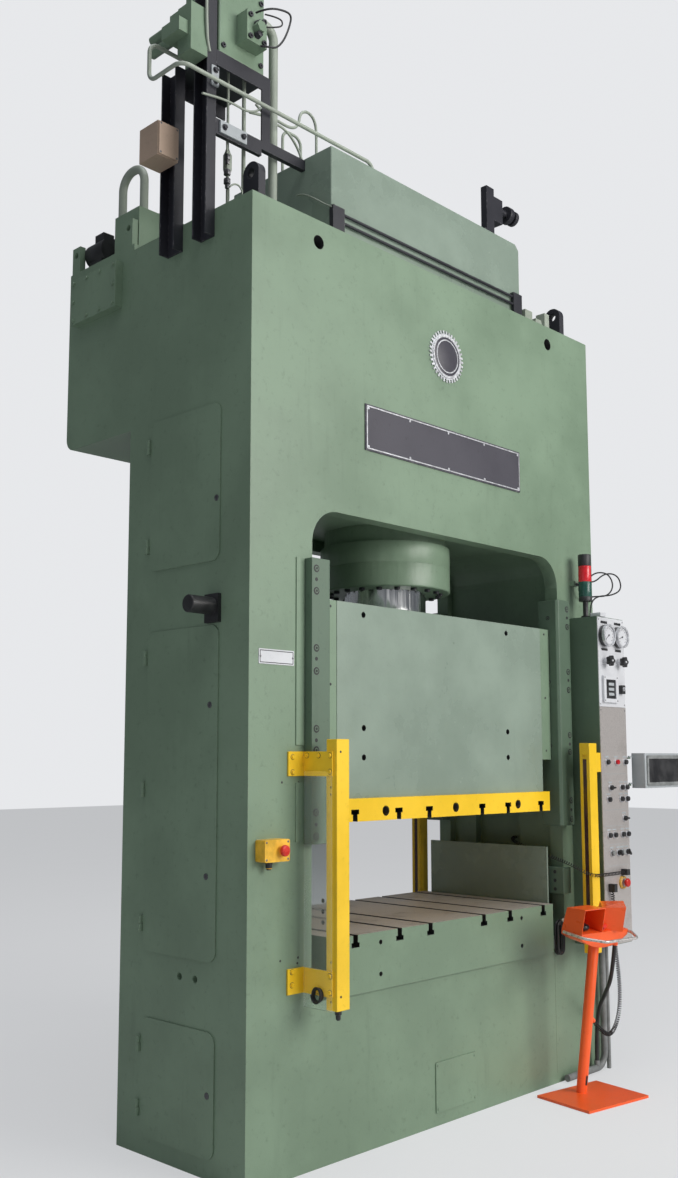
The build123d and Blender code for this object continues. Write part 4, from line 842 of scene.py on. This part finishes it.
# Rigid thin pipes of the hydraulic tower and the crown
TOWER_PIPES = {
    "tower_pipe_left": ("pipe_steel", 13, (
        (-1318, -176, 5000), (-1316, -176, 4760), (-1312, -176, 4690), (-1306, -172, 4640),
        (-1290, -168, 4600))),
    "relief_loop": ("cord_rubber", 9, (
        (-1057, -200, 4877), (-1040, -262, 4880), (-940, -262, 4915), (-898, -262, 4912), (-912, -262, 4850),
        (-945, -262, 4770), (-990, -262, 4712), (-1030, -262, 4700), (-1062, -237, 4700))),
    "relief_loop_small": ("cord_rubber", 7, (
        (-1027, -225, 4872), (-965, -262, 4868), (-950, -262, 4840), (-985, -262, 4812), (-1027, -236, 4805))),
    "platform_pipe_front": ("pipe_steel", 10, (
        (-1339, -182, 4384), (-1240, -182, 4405), (-1160, -182, 4410), (-1087, -182, 4406), (-1020, -176, 4440),
        (-965, -150, 4500), (-945, -120, 4560))),
    "crown_pipe_low": ("pipe_steel", 12, (
        (-930, -60, 4560), (-837, -60, 4507), (-770, -60, 4520), (-700, -60, 4490), (-640, -60, 4420),
        (-610, -60, 4345))),
    "crown_pipe_arch": ("pipe_steel", 14, (
        (-860, 60, 4600), (-724, 60, 4634), (-600, 60, 4625), (-545, 60, 4660), (-535, 60, 4735),
        (-480, 60, 4765), (-424, 60, 4730), (-422, 60, 4600), (-422, 60, 4342))),
    "gauge_pipe": ("pipe_steel", 8, (
        (-1158, -130, 4290), (-1158, -130, 4240), (-1150, -130, 4110), (-1144, -130, 4044), (-1144, -130, 3985),
        (-1160, -130, 3940), (-1200, -130, 3913))),
    "gauge_pipe_branch": ("pipe_steel", 8, (
        (-1060, -130, 3912), (-1060, -130, 4050), (-1082, -130, 4090), (-1122, -130, 4082),
        (-1140, -130, 4060))),
    "box_drain_pipe": ("pipe_steel", 8, (
        (-732, -128, 4170), (-732, -165, 4168), (-732, -250, 4110), (-732, -321, 4056), (-732, -350, 4040))),
}
for name, (slot, diameter, points) in TOWER_PIPES.items():
    thin_tube(name, points, diameter, slot)
bm = bmesh.new()
for z, radius in ((4178, 13), (4158, 10), (4108, 16), (4068, 16), (4048, 10)):
    turned(bm, facing("top", -1154, -130, z),
           ((radius * 0.8, 0), (radius, 2, 6), (radius, 22, 6), (radius * 0.8, 24)))
piece("gauge_pipe_fittings", bm, "dark_steel")

# Plates and bolts of the tower, its relief valve and its manifold
bm = bmesh.new()
plate(bm, facing("front", -1157, TOWER_FACE, 4286), 150, 56, 10, 4, 1.2)
plate(bm, facing("front", -1262, TOWER_FACE, 4500), 40, 90, 8, 4, 1.2)
piece("tower_bolt_plates", bm, "grey_paint")
screws("tower_bolts", hex_screw, grid("front", (-1210, -1104), (TOWER_FACE - 10,), (4286,))
       + grid("front", (-1262,), (TOWER_FACE - 8,), (4475, 4525)), 11, "black_paint", height=11)
screws("relief_bolts", cap_screw, grid("front", (-1122, -1043), (RELIEF_FACE,), (4720, 4820)), 12,
       "black_paint", proud=9)
screws("manifold_bolts", cap_screw, grid("front", (-1215, -1000), (TOWER_FACE,), (4665, 4960)), 12,
       "black_paint", proud=8)
bm = bmesh.new()
for z in (4790, 4740):
    turned(bm, facing("front", -1083, RELIEF_FACE, z), ((17, 0), (17, 10, 6), (14, 12), (14, 24), (9, 26)))
piece("relief_plugs", bm, "black_paint")

# Junction box lid and screws
shaped("junction_lid", "beige_paint", plate, facing("front", -1357, 25, 4242), 104, 148, 8, 5, 1.5)
screws("junction_screws", slot_screw, grid("front", (-1400, -1314), (17,), (4177, 4307)), 5, "dark_steel")

# Cap screws under the cylinder's flange
RING_SCREWS = 20
RING_RADIUS = 270
FLANGE_UNDERSIDE = 2404
bm = bmesh.new()
for i in range(RING_SCREWS):
    angle = math.tau * i / RING_SCREWS
    x, y = RING_RADIUS * math.cos(angle), RING_RADIUS * math.sin(angle)
    cap_screw(bm, facing("bottom", x, y, FLANGE_UNDERSIDE), 14, 12)
piece("gland_ring_screws", bm, "black_paint")

# Stand: caps on its palm buttons and the slot near its tube's foot, in the stand's tilted axes
STAND_RIGHT = (0.98769, -0.15643, 0)
STAND_BACK = (0.15487, 0.97783, 0.14091)
STAND_UP = (-0.02204, -0.13917, 0.99002)
for side in ("left", "right"):
    low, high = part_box(f"palm_button_{side}")
    shaped(f"palm_cap_{side}", "black_plastic", turned,
           oriented((Vector(low) + Vector(high)) / 2 / MM, STAND_RIGHT, STAND_BACK),
           ((29.5, -6), (33, -3), (33.5, 4), (31, 9), (22, 13.5), (8, 15.5)), 40, body=f"{side}_palm")
# The slot near the tube's foot: a black plate, painted shade of its inside
shaped("stand_foot_slot", "black_plastic", plate, oriented((717.6, -631.4, 71.4), STAND_RIGHT, STAND_UP),
       13, 48, 2.2, 6, 0.3, base=-1.4)

# Braided sleeve by the coil, and the bundle of spare lead on the left light post's bracket
thin_tube("braided_sleeve", ((842, -441, 792), (862, -436, 776), (874, -424, 752), (880, -416, 726),
                             (884, -415, 706)), 20, "rail_steel")
LEAD_STEPS = 12
LEAD_RADIUS = 24
bundle_points = []
for i in range(3 * LEAD_STEPS + 1):
    turn = i / LEAD_STEPS
    angle = math.tau * turn
    bundle_points.append((-964 - 6 * turn, -505 + LEAD_RADIUS * math.cos(angle),
                          690 + (LEAD_RADIUS + 2 * turn) * math.sin(angle)))
thin_tube("post_lead_bundle", bundle_points, 9, "cord_rubber")

# A low weld bead on the bed's front
shaped("bed_weld", "green_paint", plate, facing("front", 812, FRONT, 330), 7, 560, 0.9, 2, 0.5)

# Operator screen: dark glass in a bezel, with its screws
SCREEN_PLACE = facing("front", 1500, SCREEN_FACE, 1536)
shaped("screen_glass", "black_plastic", plate, SCREEN_PLACE, 330, 130, 2, 6, body="operator_screen")
shaped("screen_bezel", "grey_plastic", rim, SCREEN_PLACE, 372, 160, 18, 5, 8, body="operator_screen")
screws("screen_screws", slot_screw, grid("front", (1322, 1678), (SCREEN_FACE - 5,), (1464, 1608)), 4,
       "dark_steel", "operator_screen")

# Floor, backdrop and light
STAGE_SIZE = 60
HAZE = (0.80, 0.81, 0.83, 1)


def stage_plane(name, material):
    """A large square that isn't part of the object."""
    mesh = bpy.data.meshes.new(name)
    half = STAGE_SIZE / 2
    corners = [(-half, -half, 0), (half, -half, 0), (half, half, 0), (-half, half, 0)]
    mesh.from_pydata(corners, [], [(0, 1, 2, 3)])
    mesh.materials.append(material)
    plane = bpy.data.objects.new(name, mesh)
    scene.collection.objects.link(plane)


floor_material, floor_tree, floor_shader = new_material("floor")
floor_cloud = texture(floor_tree, "ShaderNodeTexNoise", 0.8, Detail=4)
floor_tone = blend_colour(floor_tree, floor_cloud.outputs["Fac"], (0.74, 0.74, 0.75), (0.80, 0.80, 0.80))
floor_tree.links.new(floor_tone, floor_shader.inputs["Base Color"])
floor_shader.inputs["Roughness"].default_value = 0.7
floor_rays = floor_tree.nodes.new("ShaderNodeLightPath")
floor_glow = floor_tree.nodes.new("ShaderNodeEmission")
floor_glow.inputs["Color"].default_value = HAZE
floor_mix = floor_tree.nodes.new("ShaderNodeMixShader")
floor_tree.links.new(times(floor_tree, floor_rays.outputs["Is Camera Ray"], 0.6), floor_mix.inputs["Fac"])
floor_tree.links.new(floor_shader.outputs["BSDF"], floor_mix.inputs[1])
floor_tree.links.new(floor_glow.outputs["Emission"], floor_mix.inputs[2])
floor_end = next(node for node in floor_tree.nodes if node.type == "OUTPUT_MATERIAL")
floor_tree.links.new(floor_mix.outputs[0], floor_end.inputs["Surface"])
stage_plane("floor", floor_material)

world = bpy.data.worlds.new("world")
scene.world = world
world.use_nodes = True
world_tree = world.node_tree
world_tree.nodes.clear()
world_output = world_tree.nodes.new("ShaderNodeOutputWorld")
light_path = world_tree.nodes.new("ShaderNodeLightPath")
ambient = world_tree.nodes.new("ShaderNodeBackground")
ambient.inputs["Color"].default_value = (0.86, 0.93, 1.0, 1)
ambient.inputs["Strength"].default_value = 0.16
seen = world_tree.nodes.new("ShaderNodeBackground")
seen.inputs["Color"].default_value = HAZE
seen.inputs["Strength"].default_value = 1.0
mix_world = world_tree.nodes.new("ShaderNodeMixShader")
seen_rays = world_tree.nodes.new("ShaderNodeMath")
seen_rays.operation = "MAXIMUM"
world_tree.links.new(light_path.outputs["Is Camera Ray"], seen_rays.inputs[0])
world_tree.links.new(light_path.outputs["Is Transmission Ray"], seen_rays.inputs[1])
world_tree.links.new(seen_rays.outputs[0], mix_world.inputs["Fac"])
world_tree.links.new(ambient.outputs[0], mix_world.inputs[1])
world_tree.links.new(seen.outputs[0], mix_world.inputs[2])
world_tree.links.new(mix_world.outputs[0], world_output.inputs["Surface"])


def area_light(name, place, target, size, power, colour):
    """A soft square lamp that faces a point."""
    data = bpy.data.lights.new(name, "AREA")
    data.shape = "RECTANGLE"
    data.size, data.size_y = size
    data.energy = power
    data.color = colour
    lamp = bpy.data.objects.new(name, data)
    scene.collection.objects.link(lamp)
    lamp.location = place
    lamp.rotation_euler = (Vector(target) - Vector(place)).to_track_quat("-Z", "Y").to_euler()


area_light("key", (2.5, -9.0, 5.0), (0, 0, 2.0), (6, 5), 740, (1.0, 0.98, 0.95))
area_light("window", (-9.0, -1.0, 2.5), (-1, 0, 1.8), (5, 2.5), 42, (0.90, 0.95, 1.0))
area_light("sky", (-1.0, -2.0, 9.5), (0, 0, 2.5), (7, 7), 330, (0.96, 0.98, 1.0))
